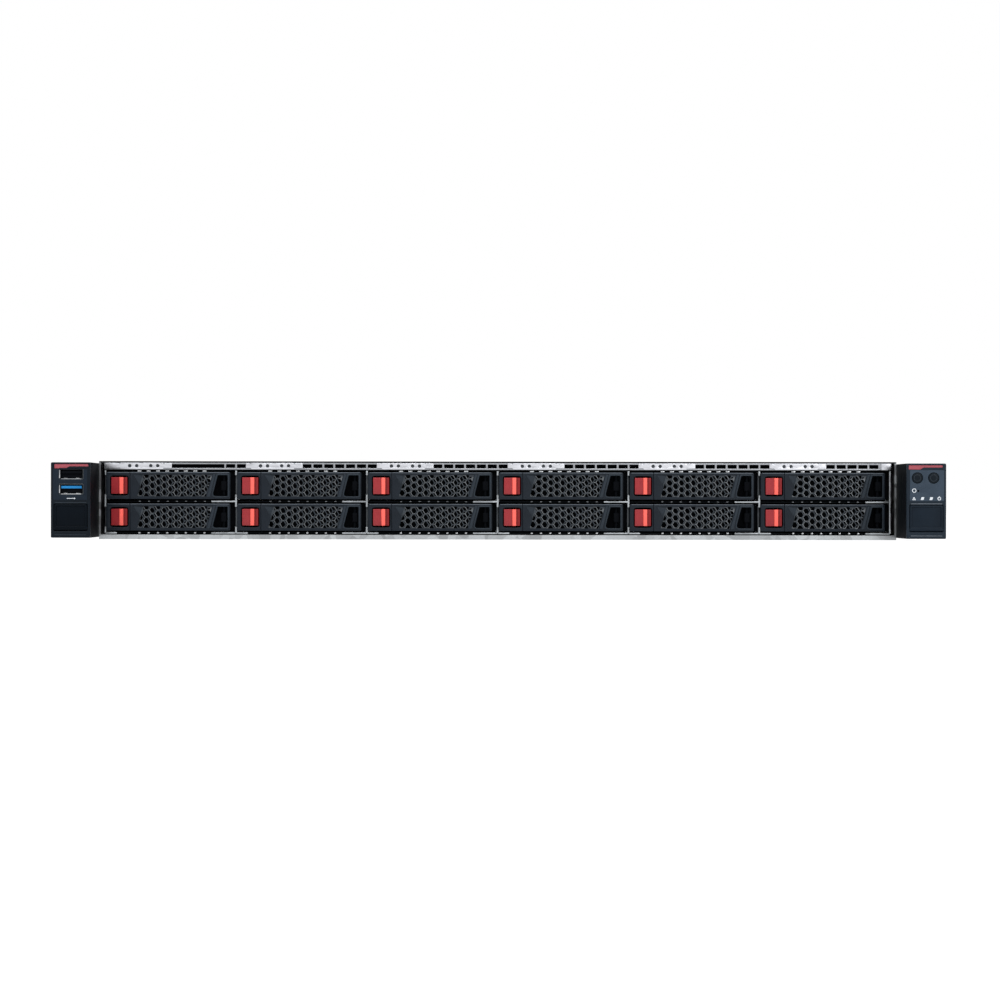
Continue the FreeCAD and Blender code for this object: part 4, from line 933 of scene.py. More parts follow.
@dataclass
class Cage:
    """Sheet cage with its spring fingers, notched dividers, vent strip and light plates."""

    columns: int = 6
    pitch: float = 72.2
    sheet: float = 0.8
    zinc_half_shade: float = 1.0
    floors: tuple[float, float, float] = (3.05, 20.45, 37.85)
    bay_height: float = 16.6
    top: float = 42.2
    foot: float = 6.4
    lip: Span = (58.6, 71.9)
    setback: float = 3.0
    finger_first: float = 18.8
    finger_pitch: float = 5.13
    finger_z: tuple[Span, Span, Span] = ((3.1, 3.9), (20.6, 21.2), (37.05, 37.95))
    fingers: int = 8
    teeth: tuple[Span, Span, Span] = ((3.5, 6.9), (17.9, 24.6), (35.4, 37.8))
    steps: int = 12
    bar: float = 1.0
    slot_z: Span = (39.28, 41.42)
    plate_left: float = 5.5
    plate_width: float = 31.3
    lights: tuple[float, ...] = (13.55, 17.4, 25.2, 29.0)

    def __post_init__(self) -> None:
        """Read the cage's place from its CAD node."""
        low, high = node_box("drive_cage")
        self.front, self.rear = low.y, high.y
        self.half = high.x
        self.first = -self.columns * self.pitch / 2

    def sheets(self, work: Workpiece) -> None:
        """Add floor, shelf and roof, set back from the front and darkened for painted shade, with the bright feet
        and lips.
        """
        for z in self.floors:
            work.block((-self.half, self.half), (self.front + self.setback, self.rear), (z, z + self.sheet),
                       Kit.ZINC_SHADE, 0.1)
        for column in range(self.columns):
            x = self.first + column * self.pitch
            for z in self.floors[:2]:
                work.block((x + self.lip[0], x + self.lip[1]), (self.front, self.front + self.setback + 0.2),
                           (z, z + self.sheet), Kit.CAGE, 0.15)
            z = self.floors[0]
            work.block((x, x + self.foot), (self.front, self.front + self.setback + 0.2), (z, z + self.sheet),
                       Kit.CAGE, 0.15)

    def springs(self, work: Workpiece) -> None:
        """Add the rows of spring fingers between the faces."""
        # the middle row is set back and in the darker bracket steel, painted shade; the outer rows are bright
        # nickel
        rows = ((self.finger_z[0], 0.6, 0.2, Kit.NICKEL), (self.finger_z[1], 0.6, 1.6, Kit.STEEL),
                (self.finger_z[2], 1.1, 0.2, Kit.NICKEL))
        for column in range(self.columns):
            for index in range(self.fingers):
                x = self.first + column * self.pitch + self.finger_first + index * self.finger_pitch
                for z, half, reach, kit in rows:
                    work.block((x - half, x + half), (self.front + reach, self.front + self.setback + 1.0),
                               z, kit, 0.3)

    def dividers(self, work: Workpiece) -> None:
        """Add the dividers, with the bright teeth that reach the front at the gaps between faces."""
        for column in range(self.columns + 1):
            x = self.first + column * self.pitch
            across = (x - self.zinc_half_shade / 2, x + self.zinc_half_shade / 2)
            outer = column in (0, self.columns)
            for row, z in enumerate(self.floors[:2]):
                low = z + self.sheet
                bottom = 1.0 if outer and row == 0 else low
                # set-back divider in the half-darkened zinc: painted shade
                work.block(across, (self.front + self.setback, self.rear), (bottom, low + self.bay_height),
                           Kit.ZINC_HALF_SHADE, 0.1)
            whole = ((self.teeth[0][0], self.teeth[-1][1]),)
            for tooth in whole if column == self.columns else self.teeth:
                work.block(across, (self.front, self.front + self.setback + 0.2), tooth, Kit.CAGE, 0.18)

    def slots(self, column: int) -> list[Span]:
        """Return the X spans of the open slots over one column."""
        x = self.first + column * self.pitch
        step = self.pitch / self.steps
        bounds = [(0, 0), (6, 6), (7, 7), (8, 8), (9, 9), (10, 10), (11, 11)]
        if column == 0:
            bounds = [(6, 10), (11, 11)]
        if column == self.columns - 1:
            bounds = bounds[:-1]
        return [(x + a * step + self.bar / 2, x + (b + 1) * step - self.bar / 2) for a, b in bounds]

    def strip(self, work: Workpiece) -> None:
        """Add the slotted vent strip with a black sheet behind it, painted shade seen through the slots."""
        holes = [softened(rectangle(span, self.slot_z), 0.25, 2)
                 for column in range(self.columns) for span in self.slots(column)]
        work.plate(rectangle((-self.half, self.half), (self.floors[2] + 0.6, self.top)), holes, Plane.FRONT,
                   (self.front, self.front + self.sheet), Kit.STRIP, 0.12)
        # black sheet behind the slots: painted shade
        work.block((-self.half + 1, self.half - 1), (self.front + 6.0, self.front + 6.6),
                   (self.floors[2] + self.sheet, self.top), Kit.DARK, 0.05)

    def light_plates(self) -> None:
        """Make the bright plates with their four light pipes each."""
        work = Workpiece()
        for column in range(self.columns):
            base = self.first + column * self.pitch
            left = base + self.plate_left
            right = left + self.plate_width
            low, high = self.floors[2] + 0.78, self.top - 0.1
            body = (left + 3.1, right - 5.0)
            outline = [(left, low + 0.75), (body[0] - 0.5, low + 0.75), (body[0], low), (body[1], low),
                       (body[1] + 0.5, low + 0.65), (right, low + 0.65), (right, high - 0.15),
                       (body[1] + 1.0, high - 0.15), (body[1] + 0.5, high - 0.75), (body[1], high),
                       (body[0], high), (body[0] - 0.5, high - 0.75), (body[0] - 1.0, high - 0.15),
                       (left, high - 0.15)]
            middle = (low + high) / 2 + 0.1
            if column == 0:
                outline[0], outline[-1] = (base + 0.6, low + 0.75), (base + 0.6, high - 0.15)
            holes = [disc(base + x, middle, 0.95, 20) for x in self.lights]
            work.plate(softened(outline, 0.18, 2), holes, Plane.FRONT, (self.front - 0.6, self.front - 0.02),
                       Kit.PLATE, 0.1)
            for x in self.lights:
                work.rod(Vector((base + x, self.front - 0.2, middle)),
                         Vector((base + x, self.front - 0.02, middle)),
                         0.97, Kit.LENS, 0.05, 20)
        work.block((self.half - 5.4, self.half - 0.6), (self.front - 0.6, self.front - 0.02),
                   (self.floors[2] + 0.78, self.top - 0.1), Kit.PLATE, 0.1)
        placed("light_plates", work.mesh("light_plates"), "chassis", None, ("light_pipe_plates",))

    def build(self) -> None:
        """Make the cage and its plates."""
        work = Workpiece()
        self.sheets(work)
        self.springs(work)
        self.dividers(work)
        self.strip(work)
        placed("front_cage", work.mesh("front_cage"), "chassis", None, ("drive_cage",))
        # dark strip under the cover's front edge: painted shadow line
        shadow_line = Workpiece()
        shadow_line.block((-219.5, 219.5), (self.front - 0.3, self.front - 0.02), (self.top + 0.12, self.top + 0.78),
                  Kit.SHELL, 0.08)
        placed("cover_front_shadow_line", shadow_line.mesh("cover_front_shadow_line"), "cover")
        self.light_plates()
        log.info("cage, fingers, vent strip and light plates: %d columns", self.columns)


# ---- ears ---------------------------------------------------------------------
class Side(Enum):
    """Which end of the rack ears a piece belongs to."""

    LEFT = -1
    RIGHT = 1


@dataclass
class Ear:
    """One rack ear, drawn outwards from the chassis wall: U across, Y back, Z up."""

    side: Side
    wall: float = 220.0
    width: float = 21.3
    z: Span = (1.15, 41.85)
    front: float = -33.0
    skin: float = 2.0
    shell: float = 1.5
    flange: float = 1.2
    door: tuple[Span, Span] = ((1.5, 19.8), (4.8, 19.5))
    usb_middle: float = 10.25
    usb_size: tuple[float, float] = (13.1, 5.7)
    usb_z: tuple[float, float] = (35.5, 27.4)
    keys_u: tuple[float, float] = (14.5, 5.7)
    key_z: float = 34.0
    key_radius: float = 2.85
    screw: Point = (12.55, 12.2)
    stripe: tuple[Span, float] = ((1.1, 19.4), 40.9)
    panel: tuple[Span, Span] = ((1.7, 20.1), (21.6, 38.2))

    def __post_init__(self) -> None:
        """Choose the finishes of this side: darker copies of one plastic on the left, painted shade, and lighter
        ones on the right, painted light; the two lines are painted highlights.
        """
        left = self.side is Side.LEFT
        self.skin_kit = Kit.FRAME_LEFT if left else Kit.FRAME_RIGHT
        self.panel_kit = Kit.EAR_LEFT if left else Kit.EAR_RIGHT
        self.door_kit = Kit.DOOR_LEFT if left else Kit.DOOR_RIGHT
        self.highlight_line_kit = Kit.FRAME if left else Kit.EDGE

    def x(self, u: float) -> float:
        """Return the X of a distance out from the chassis wall."""
        return self.side.value * (self.wall + u)

    def across(self, u: Span) -> Span:
        """Return the X span, low end first, of a span out from the wall."""
        a, b = sorted((self.x(u[0]), self.x(u[1])))
        return (a, b)

    def stripe_outline(self) -> list[Point]:
        """Return the red stripe: thick slanted end at the left, thin band to the right."""
        left, right = self.across(self.stripe[0])
        top = self.stripe[1]
        return [(left, top), (left, top - 2.35), (left + 6.2, top - 2.35), (left + 8.0, top - 1.25),
                (right, top - 1.25), (right, top)]

    def shell_piece(self, work: Workpiece) -> None:
        """Add the front skin with its openings, the side walls and the inner deck."""
        inner, outer = 0.35, 0.8
        x = self.across((0.0, self.width))
        radii = [outer, inner, inner, outer] if self.side is Side.LEFT else [inner, outer, outer, inner]
        outline = softened(rectangle(x, self.z), radii)
        door_u, door_z = self.door
        holes = [softened(rectangle(self.across(door_u), door_z), 0.6), self.stripe_outline()]
        if self.side is Side.LEFT:
            for z in self.usb_z:
                holes.append(self.usb_outline(z, 0.1))
        else:
            holes += [disc(self.x(u), self.key_z, self.key_radius + 0.2, 40) for u in self.keys_u]
            holes.append(disc(self.x(6.2), 27.0, 0.55, 16))
        work.plate(outline, holes, Plane.FRONT, (self.front + 0.16, self.front + self.skin), self.skin_kit,
                   0.3)
        panel = softened(rectangle(self.across(self.panel[0]), self.panel[1]), 0.4)
        inside = [hole for hole in holes if hole[0][1] > self.panel[1][0] and hole is not holes[1]]
        work.plate(panel, inside, Plane.FRONT, (self.front + 0.1, self.front + 0.3), self.panel_kit, 0.04)
        # lighter lines above the door and near the bottom: painted highlights
        work.block(self.across((2.2, self.width - 2.2)), (self.front + 0.06, self.front + 0.3),
                   (door_z[1] + 0.35, door_z[1] + 0.8), self.highlight_line_kit, 0.1)
        work.block(self.across((2.2, self.width - 2.2)), (self.front + 0.06, self.front + 0.3),
                   (self.z[0] + 1.4, self.z[0] + 1.8), self.highlight_line_kit, 0.1)
        cavity = rectangle(self.across((self.shell, self.width - self.shell)),
                           (self.z[0] + self.shell, self.z[1] - self.shell))
        # side walls in the darkened shell plastic: painted shade
        work.plate(outline, [cavity], Plane.FRONT, (self.front + self.skin - 0.3, -self.flange), Kit.SHELL,
                   0.12)
        work.block(self.across((self.shell - 0.2, self.width - self.shell + 0.2)),
                   (self.front + self.skin, -self.flange - 0.1), (door_z[1] + 0.2, door_z[1] + 1.6), Kit.DARK)
        work.block(self.across((self.shell - 0.2, self.width - self.shell + 0.2)),
                   (self.front + self.skin - 0.2, self.front + self.skin + 0.4),
                   (door_z[1] + 1.0, self.z[1] - self.shell), Kit.DARK, 0.05)
        left, right = self.across(self.stripe[0])
        work.block((left - 0.3, right + 0.3), (self.front + 0.55, self.front + 1.6),
                   (self.stripe[1] - 2.7, self.stripe[1] + 0.3), Kit.STRIPE, 0.05)

    def usb_outline(self, z: float, grow: float) -> list[Point]:
        """Return a socket's outline, grown by a distance."""
        half = self.usb_size[0] / 2 + grow
        rise = self.usb_size[1] / 2 + grow
        middle = self.x(self.usb_middle)
        return softened(rectangle((middle - half, middle + half), (z - rise, z + rise)), 0.5 + grow)

    def usb(self, work: Workpiece, z: float, tongue: Kit) -> None:
        """Add one socket: rolled shell, springs, tongue and contacts."""
        middle = self.x(self.usb_middle)
        front = self.front + 0.1
        back = front + 13.8
        # shell in the half-darkened zinc, painted shade; the nickel strip at its left and the lip at its bottom
        # are painted glints, in dimmer steel on the black socket
        work.plate(self.usb_outline(z, 0.0), [self.usb_outline(z, -0.32)], Plane.FRONT, (front, back),
                   Kit.ZINC_HALF_SHADE, 0.08)
        left = middle - self.usb_size[0] / 2
        work.block((left, left + 0.55), (front - 0.08, front + 2.0), (z - 2.1, z + 2.1), Kit.NICKEL, 0.12)
        lip = Kit.NICKEL if tongue is Kit.BLUE else Kit.STEEL
        work.block((left + 1.0, left + 12.0), (front - 0.08, front + 2.0), (z - 2.85, z - 2.4), lip, 0.12)
        work.plate(self.usb_outline(z, -0.3), [], Plane.FRONT, (back - 0.6, back), Kit.DARK, 0.02)
        work.block((middle - 5.5, middle + 5.5), (front + 0.7, back - 0.5), (z + 0.35, z + 1.75), tongue,
                   0.18)
        for index in range(4):
            x = middle + (index - 1.5) * 2.2
            work.block((x - 0.5, x + 0.5), (front + 4.0, back - 1.0), (z + 0.22, z + 0.4), Kit.GOLD, 0.04)
        for x in (middle - 3.2, middle + 3.2):
            work.block((x - 1.0, x + 1.0), (front + 1.6, front + 5.0), (z - 2.55, z - 2.1), Kit.NICKEL, 0.12)

    def bracket(self, work: Workpiece) -> None:
        """Add the steel flange and leg, with the captive screw in the pocket."""
        hole = disc(self.x(self.screw[0]), self.screw[1], 2.75, 28)
        work.plate(rectangle(self.across((0.0, self.width)), self.z), [hole], Plane.FRONT,
                   (-self.flange, 0.0),
                   Kit.STEEL, 0.15)
        work.block(self.across((0.0, 1.2)), (-self.flange, 70.0), self.z, Kit.STEEL, 0.15)
        at = Vector((self.x(self.screw[0]), 0.0, self.screw[1]))
        back = Vector((0, 1, 0))
        work.rod(at - back * 6.2, at - back * 1.2, 4.0, Kit.NICKEL, 0.5, 32)
        work.rod(at - back * 1.3, at + back * 8.0, 2.5, Kit.NICKEL, 0.5, 24)
        # dark cross on the screw head: painted shade of its recess
        for turn in (0, 1):
            size = (2.4, 0.45) if turn == 0 else (0.45, 2.4)
            work.block((at.x - size[0], at.x + size[0]), (-6.35, -5.6), (at.z - size[1], at.z + size[1]),
                       Kit.DARK, 0.05)

    def marks(self, work: Workpiece) -> None:
        """Add the small printed signs in the ear's face."""
        y = (self.front + 0.02, self.front + 0.25)
        if self.side is Side.LEFT:
            middle = self.x(self.usb_middle)
            z = 22.4
            work.plate([(middle - 2.4, z - 0.16), (middle + 1.6, z - 0.16), (middle + 1.6, z - 0.45),
                        (middle + 2.4, z), (middle + 1.6, z + 0.45), (middle + 1.6, z + 0.16),
                        (middle - 2.4, z + 0.16)], [], Plane.FRONT, y, Kit.PRINT, 0.02)
            return
        z = 22.9
        places = [self.x(u) for u in (3.9, 8.5, 13.2, 17.5)]
        work.plate([(places[0] - 1.0, z - 0.8), (places[0] + 1.0, z - 0.8), (places[0], z + 0.95)],
                   [[(places[0] - 0.45, z - 0.48), (places[0] + 0.45, z - 0.48), (places[0], z + 0.3)]],
                   Plane.FRONT, y, Kit.PRINT, 0.02)
        for x in places[1:3]:
            work.plate([(x - 1.0, z - 0.75), (x + 0.5, z - 0.75), (x + 1.0, z + 0.8), (x - 0.5, z + 0.8)], [],
                       Plane.FRONT, y, Kit.PRINT, 0.02)
        for x, height, radius in ((places[3], z, 0.95), (self.x(4.0), 27.2, 1.15)):
            work.plate(disc(x, height, radius, 24), [disc(x, height, radius - 0.38, 24)], Plane.FRONT, y,
                       Kit.PRINT, 0.02)
        work.block((places[3] - 0.17, places[3] + 0.17), y, (z + 0.2, z + 1.25), Kit.PRINT, 0.02)

    def build(self) -> None:
        """Make the ear, its door and its buttons."""
        name = self.side.name.lower()
        work = Workpiece()
        self.shell_piece(work)
        self.bracket(work)
        self.marks(work)
        if self.side is Side.LEFT:
            self.usb(work, self.usb_z[0], Kit.DARK)
            self.usb(work, self.usb_z[1], Kit.BLUE)
        placed("rack_ear_" + name, work.mesh("rack_ear_" + name), "chassis", None, (name + "_ear",))
        self.door_piece(name)
        if self.side is Side.RIGHT:
            self.key("power_key", "power_button", self.keys_u[0], "power_key")
            self.key("ident_key", "ident_button", self.keys_u[1], "ident_key")
        log.info("%s ear with its door", name)

    def door_piece(self, name: str) -> None:
        """Make the flap door: rounded top edge, sunken panel, finger lip and hinge pin."""
        work = Workpiece()
        u = (self.door[0][0] + 0.25, self.door[0][1] - 0.25)
        x = self.across(u)
        z = (6.0, 19.25)
        outline = softened(rectangle(x, z), [0.1, 0.1, 0.9, 0.9])
        inset = 1.1
        panel = softened(rectangle((x[0] + inset, x[1] - inset), (z[0] + 1.5, z[1] - 1.0)), 0.5)
        work.plate(outline, [panel], Plane.FRONT, (self.front + 0.04, self.front + 1.2), self.door_kit, 0.3)
        work.plate(outline, [], Plane.FRONT, (self.front + 0.45, self.front + 2.0), self.door_kit, 0.3)
        pin = self.front + 1.1
        low, high = self.x(0.5), self.x(self.width - 0.5)
        work.rod(Vector((low, pin, 6.15)), Vector((high, pin, 6.15)), 0.75, self.door_kit, 0.1, 24)
        work.rod(Vector((x[0], pin, 6.15)), Vector((x[1], pin, 6.15)), 1.08, self.door_kit, 0.2, 28)
        placed("ear_door_" + name, work.mesh("ear_door_" + name), name + "_door", None,
               (name + "_ear_door",))

    def key(self, name: str, node: str, u: float, body: str) -> None:
        """Make one round push button with a faint ring on its cap."""
        work = Workpiece()
        at = Vector((self.x(u), self.front + 0.05, self.key_z))
        back = Vector((0, 1, 0))
        work.rod(at, at + back * 3.9, self.key_radius - 0.02, Kit.KEYCAP, 0.45, 40)
        # faint ring on the cap in the lighter charcoal: painted highlight on its raised edge
        work.plate(disc(at.x, at.z, 1.9, 32), [disc(at.x, at.z, 1.62, 32)], Plane.FRONT,
                   (at.y - 0.04, at.y + 0.2), Kit.FRAME, 0.02)
        placed(name, work.mesh(name), body, None, (node,))


# ---- inside and rear ------------------------------------------------------------
@dataclass
class Mainboard:
    """The board with heat sinks, memory and small parts, in the place of its CAD node."""

    thickness: float = 1.6
    sink: tuple[float, float, float] = (78.0, 108.0, 25.0)
    sink_middle: float = 107.0
    sink_start: float = 40.0
    fins: int = 24
    memory: tuple[float, float] = (133.0, 30.0)
    memory_pitch: float = 8.0
    memory_edge: float = 46.0
    supply_front: float = 537.0
    waist: float = 64.5
    rear_gap: float = 5.0

    def __post_init__(self) -> None:
        """Read the CAD node's box and the front of its heat sinks."""
        self.low, self.high = node_box("mainboard")
        self.top = self.low.z + self.thickness
        self.front = self.low.y + self.sink_start

    def board(self, work: Workpiece) -> None:
        """Add the printed board, narrow beside the supplies."""
        rear = self.high.y - self.rear_gap
        step = self.supply_front - 4.0
        outline = [(self.low.x, self.low.y), (self.high.x, self.low.y), (self.high.x, step),
                   (self.waist, step),
                   (self.waist, rear), (self.low.x, rear)]
        holes = [disc(x, y, 1.9, 16) for x in (-190.0, 0.0, 190.0) for y in (self.low.y + 8.0,
                                                                             self.low.y + 150.0)]
        work.plate(outline, holes, Plane.TOP, (self.low.z, self.top), Kit.BOARD, 0.1)

    def heat_sink(self, work: Workpiece, middle: float) -> None:
        """Add one finned heat sink with its four spring screws."""
        width, length, height = self.sink
        x = (middle - width / 2, middle + width / 2)
        y = (self.front, self.front + length)
        work.block(x, y, (self.top, self.top + 4.0), Kit.FIN, 0.3)
        step = (width - 0.7) / (self.fins - 1)
        for index in range(self.fins):
            left = x[0] + index * step
            inset = 9.0 if index in (0, 1, self.fins - 2, self.fins - 1) else 0.0
            work.block((left, left + 0.7), (y[0] + inset, y[1] - inset), (self.top + 4.0, self.top + height),
                       Kit.FIN,
                       0.1)
        for side in (-1, 1):
            for end in (y[0] + 4.5, y[1] - 4.5):
                at = Vector((middle + side * (width / 2 - 4.0), end, self.top + 4.0))
                work.rod(at, at + Vector((0, 0, 7.0)), 2.4, Kit.NICKEL, 0.4, 24)

    def module(self, work: Workpiece, x: float) -> None:
        """Add one memory module in its socket, with a row of chips on both sides."""
        length, height = self.memory
        y = (self.front, self.front + length)
        work.block((x - 2.0, x + 2.0), y, (self.top, self.top + 4.2), Kit.CHIP, 0.2)
        work.block((x - 0.6, x + 0.6), (y[0] + 4.0, y[1] - 4.0), (self.top + 4.2, self.top + height),
                   Kit.BOARD, 0.1)
        for end in (y[0], y[1] - 4.0):
            work.block((x - 1.9, x + 1.9), (end, end + 4.0), (self.top + 4.2, self.top + 15.0), Kit.PRINT,
                       0.6)
        for index in range(9):
            start = y[0] + 9.0 + index * 13.2
            work.block((x - 1.7, x + 1.7), (start, start + 9.6), (self.top + 11.0, self.top + 23.0),
                       Kit.CHIP, 0.15)

    def small_parts(self, work: Workpiece) -> None:
        """Add chokes, capacitors, chips, a coin cell and two long sockets behind the processors."""
        row = self.front + self.memory[0] + 16.0
        for index in range(9):
            for middle in (-self.sink_middle, self.sink_middle):
                x = middle - 44.0 + index * 11.0
                work.block((x - 4.0, x + 4.0), (row, row + 8.0), (self.top, self.top + 6.0), Kit.CHIP, 1.0)
                at = Vector((x, row + 16.0, self.top))
                work.rod(at, at + Vector((0, 0, 9.0)), 3.2, Kit.FIN, 0.5, 24)
        for x, y, size in ((-20.0, 480.0, 26.0), (30.0, 470.0, 17.0), (-150.0, 470.0, 20.0),
                           (20.0, 600.0, 22.0)):
            work.block((x - size / 2, x + size / 2), (y, y + size), (self.top, self.top + 2.2), Kit.CHIP, 0.2)
        work.block((-14.0, 14.0), (500.0, 526.0), (self.top, self.top + 12.0), Kit.FIN, 0.6)
        at = Vector((-52.0, 600.0, self.top))
        work.rod(at, at + Vector((0, 0, 4.2)), 10.0, Kit.NICKEL, 0.6, 48)
        for x in (-176.0, -120.0):
            work.block((x - 4.0, x + 4.0), (560.0, 648.0), (self.top, self.top + 11.0), Kit.CHIP, 0.4)

    def build(self) -> None:
        """Make the board with everything on it."""
        work = Workpiece()
        self.board(work)
        for middle in (-self.sink_middle, self.sink_middle):
            self.heat_sink(work, middle)
            for side in (-1, 1):
                for index in range(4):
                    self.module(work, middle + side * (self.memory_edge + 2.0 + index * self.memory_pitch))
        self.small_parts(work)
        RearPorts(self.top, self.high.y).build(work)
        placed("server_mainboard", work.mesh("server_mainboard"), "chassis", None, ("mainboard",))
        log.info("mainboard with %d fins on each heat sink", self.fins)


@dataclass
class RearPorts:
    """Network jacks, the video port and the expansion slots' covers, flush with the rear panel."""

    floor: float
    rear: float
    jacks: tuple[float, ...] = (-60.0, -42.0, -24.0)
    jack: tuple[float, float, float] = (15.9, 13.2, 21.0)
    video: tuple[float, float, float] = (31.0, 12.5, 12.0)
    video_middle: float = 24.0
    slots_x: Span = (-208.6, -87.4)
    slots_z: tuple[float, ...] = (14.2, 31.8)

    def network(self, work: Workpiece, x: float) -> None:
        """Add one jack: metal shell, dark mouth with a latch notch, eight contacts and two lights."""
        width, height, depth = self.jack
        low = self.floor
        rim = rectangle((x - width / 2, x + width / 2), (low, low + height))
        mouth = [(x - 5.9, low + 3.4), (x - 2.1, low + 3.4), (x - 2.1, low + 1.6), (x + 2.1, low + 1.6),
                 (x + 2.1, low + 3.4), (x + 5.9, low + 3.4), (x + 5.9, low + 10.2), (x - 5.9, low + 10.2)]
        work.plate(rim,
                   [rectangle((x - width / 2 + 0.5, x + width / 2 - 0.5), (low + 0.5, low + height - 0.5))],
                   Plane.FRONT, (self.rear - depth, self.rear), Kit.NICKEL, 0.12)
        inner = rectangle((x - width / 2 + 0.45, x + width / 2 - 0.45), (low + 0.45, low + height - 0.45))
        work.plate(inner, [mouth], Plane.FRONT, (self.rear - depth + 2.0, self.rear - 0.5), Kit.CHIP, 0.15)
        work.plate(inner, [], Plane.FRONT, (self.rear - depth, self.rear - depth + 1.8), Kit.DARK, 0.1)
        for index in range(8):
            at = x + (index - 3.5) * 1.02
            work.rod(Vector((at, self.rear - 3.0, low + 9.9)), Vector((at, self.rear - 12.0, low + 6.2)),
                     0.22,
                     Kit.GOLD, 0.0, 8)
        for side in (-1, 1):
            at = x + side * 5.3
            work.block((at - 1.3, at + 1.3), (self.rear - 2.0, self.rear - 0.35), (low + 10.8, low + 12.2),
                       Kit.GLOW,
                       0.2)

    def display(self, work: Workpiece) -> None:
        """Add the video port: flange, D-shaped shell, insulator with fifteen sockets and two posts."""
        width, height, depth = self.video
        x = self.video_middle
        middle = self.floor + height / 2
        flange = softened(rectangle((x - width / 2, x + width / 2), (self.floor, self.floor + height)), 1.5)
        work.plate(flange, [], Plane.FRONT, (self.rear - depth, self.rear - 1.0), Kit.NICKEL, 0.2)
        outer = softened([(x - 7.6, middle - 4.1), (x + 7.6, middle - 4.1), (x + 8.6, middle + 4.1),
                          (x - 8.6, middle + 4.1)], 1.6)
        inner = softened([(x - 7.1, middle - 3.6), (x + 7.1, middle - 3.6), (x + 8.1, middle + 3.6),
                          (x - 8.1, middle + 3.6)], 1.3)
        work.plate(outer, [inner], Plane.FRONT, (self.rear - 4.2, self.rear), Kit.NICKEL, 0.1)
        sockets = [disc(x + (column - 2) * 2.29 + (0.57 if row == 1 else -0.57), middle + (row - 1) * 1.98,
                        0.55, 12)
                   for row in range(3) for column in range(5)]
        work.plate(inner, sockets, Plane.FRONT, (self.rear - 4.1, self.rear - 0.8), Kit.VIDEO, 0.1)
        for side in (-1, 1):
            at = Vector((x + side * 12.5, self.rear - 3.95, middle))
            work.rod(at, at + Vector((0, 3.9, 0)), 2.5, Kit.NICKEL, 0.3, 6)
            # dark disc in the post's end: painted shade of its threaded hole
            work.rod(at + Vector((0, 3.7, 0)), at + Vector((0, 3.95, 0)), 1.3, Kit.DARK, 0.0, 20)

    def slot_covers(self, work: Workpiece) -> None:
        """Add the two slot covers, pierced with round vents."""
        for z in self.slots_z:
            edge = rectangle(self.slots_x, (z - 7.8, z + 7.8))
            vents = [disc(self.slots_x[0] + 8.0 + index * 4.6 + (2.3 if row > 0 else 0.0), z + row * 4.4, 1.5, 12)
                     for row in (-0.5, 0.5) for index in range(23)]
            work.plate(edge, vents, Plane.FRONT, (self.rear - 1.7, self.rear - 1.0), Kit.CAGE, 0.08)

    def build(self, work: Workpiece) -> None:
        """Add every port and cover to the board's piece."""
        for x in self.jacks:
            self.network(work, x)
        self.display(work)
        self.slot_covers(work)


@dataclass
class RearPanel:
    """Screws, vent screens and rivets on the chassis."""

    rear: float = 722.0
    side: float = 220.0
    bracket_end: float = 70.0
    vent_middle: float = -20.0
    vent: tuple[float, Span] = (118.0, (25.5, 37.5))

    def screw(self, work: Workpiece, at: Vector, out: Vector) -> None:
        """Add one pan-head screw whose cross recess is two dark bars, painted shade."""
        work.rod(at, at + out * 1.3, 2.9, Kit.NICKEL, 0.45, 32)
        across = Vector((1, 0, 0)) if abs(out.y) > 0.5 else Vector((0, 1, 0))
        for way in (across, Vector((0, 0, 1))):
            centre = at + out * 1.28
            work.rod(centre - way * 1.7, centre + way * 1.7, 0.32, Kit.DARK, 0.0, 8)

    def build(self) -> None:
        """Make the screws, rivets and the screen behind the vents."""
        work = Workpiece()
        for x in (-84.0, -214.5, 62.0):
            for z in (5.0, 38.2):
                self.screw(work, Vector((x, self.rear - 0.05, z)), Vector((0, 1, 0)))
        for side in (-1, 1):
            for y in (30.0, 62.0, 160.0, 300.0, 430.0, 560.0, 700.0):
                leg = 1.2 if y < self.bracket_end else 0.0
                for z in (7.0, 36.0):
                    at = Vector((side * (self.side + leg - 0.05), y, z))
                    work.rod(at, at + Vector((side * 0.7, 0, 0)), 2.1, Kit.STEEL, 0.3, 24)
        width, z = self.vent
        field = (self.vent_middle - width / 2, self.vent_middle + width / 2)
        screen = rectangle((field[0] - 1.5, field[1] + 1.5), (z[0] - 1.5, z[1] + 1.5))
        holes = [disc(field[0] + 2.6 + index * 3.9 + (1.95 if row % 2 else 0.0), z[0] + 2.2 + row * 2.6,
                      1.35, 6)
                 for row in range(4) for index in range(29)]
        work.plate(screen, holes, Plane.FRONT, (self.rear - 1.7, self.rear - 1.02), Kit.CAGE, 0.06)
        placed("chassis_fittings", work.mesh("chassis_fittings"), "chassis")
        log.info("rear screws, vent screen and side rivets")


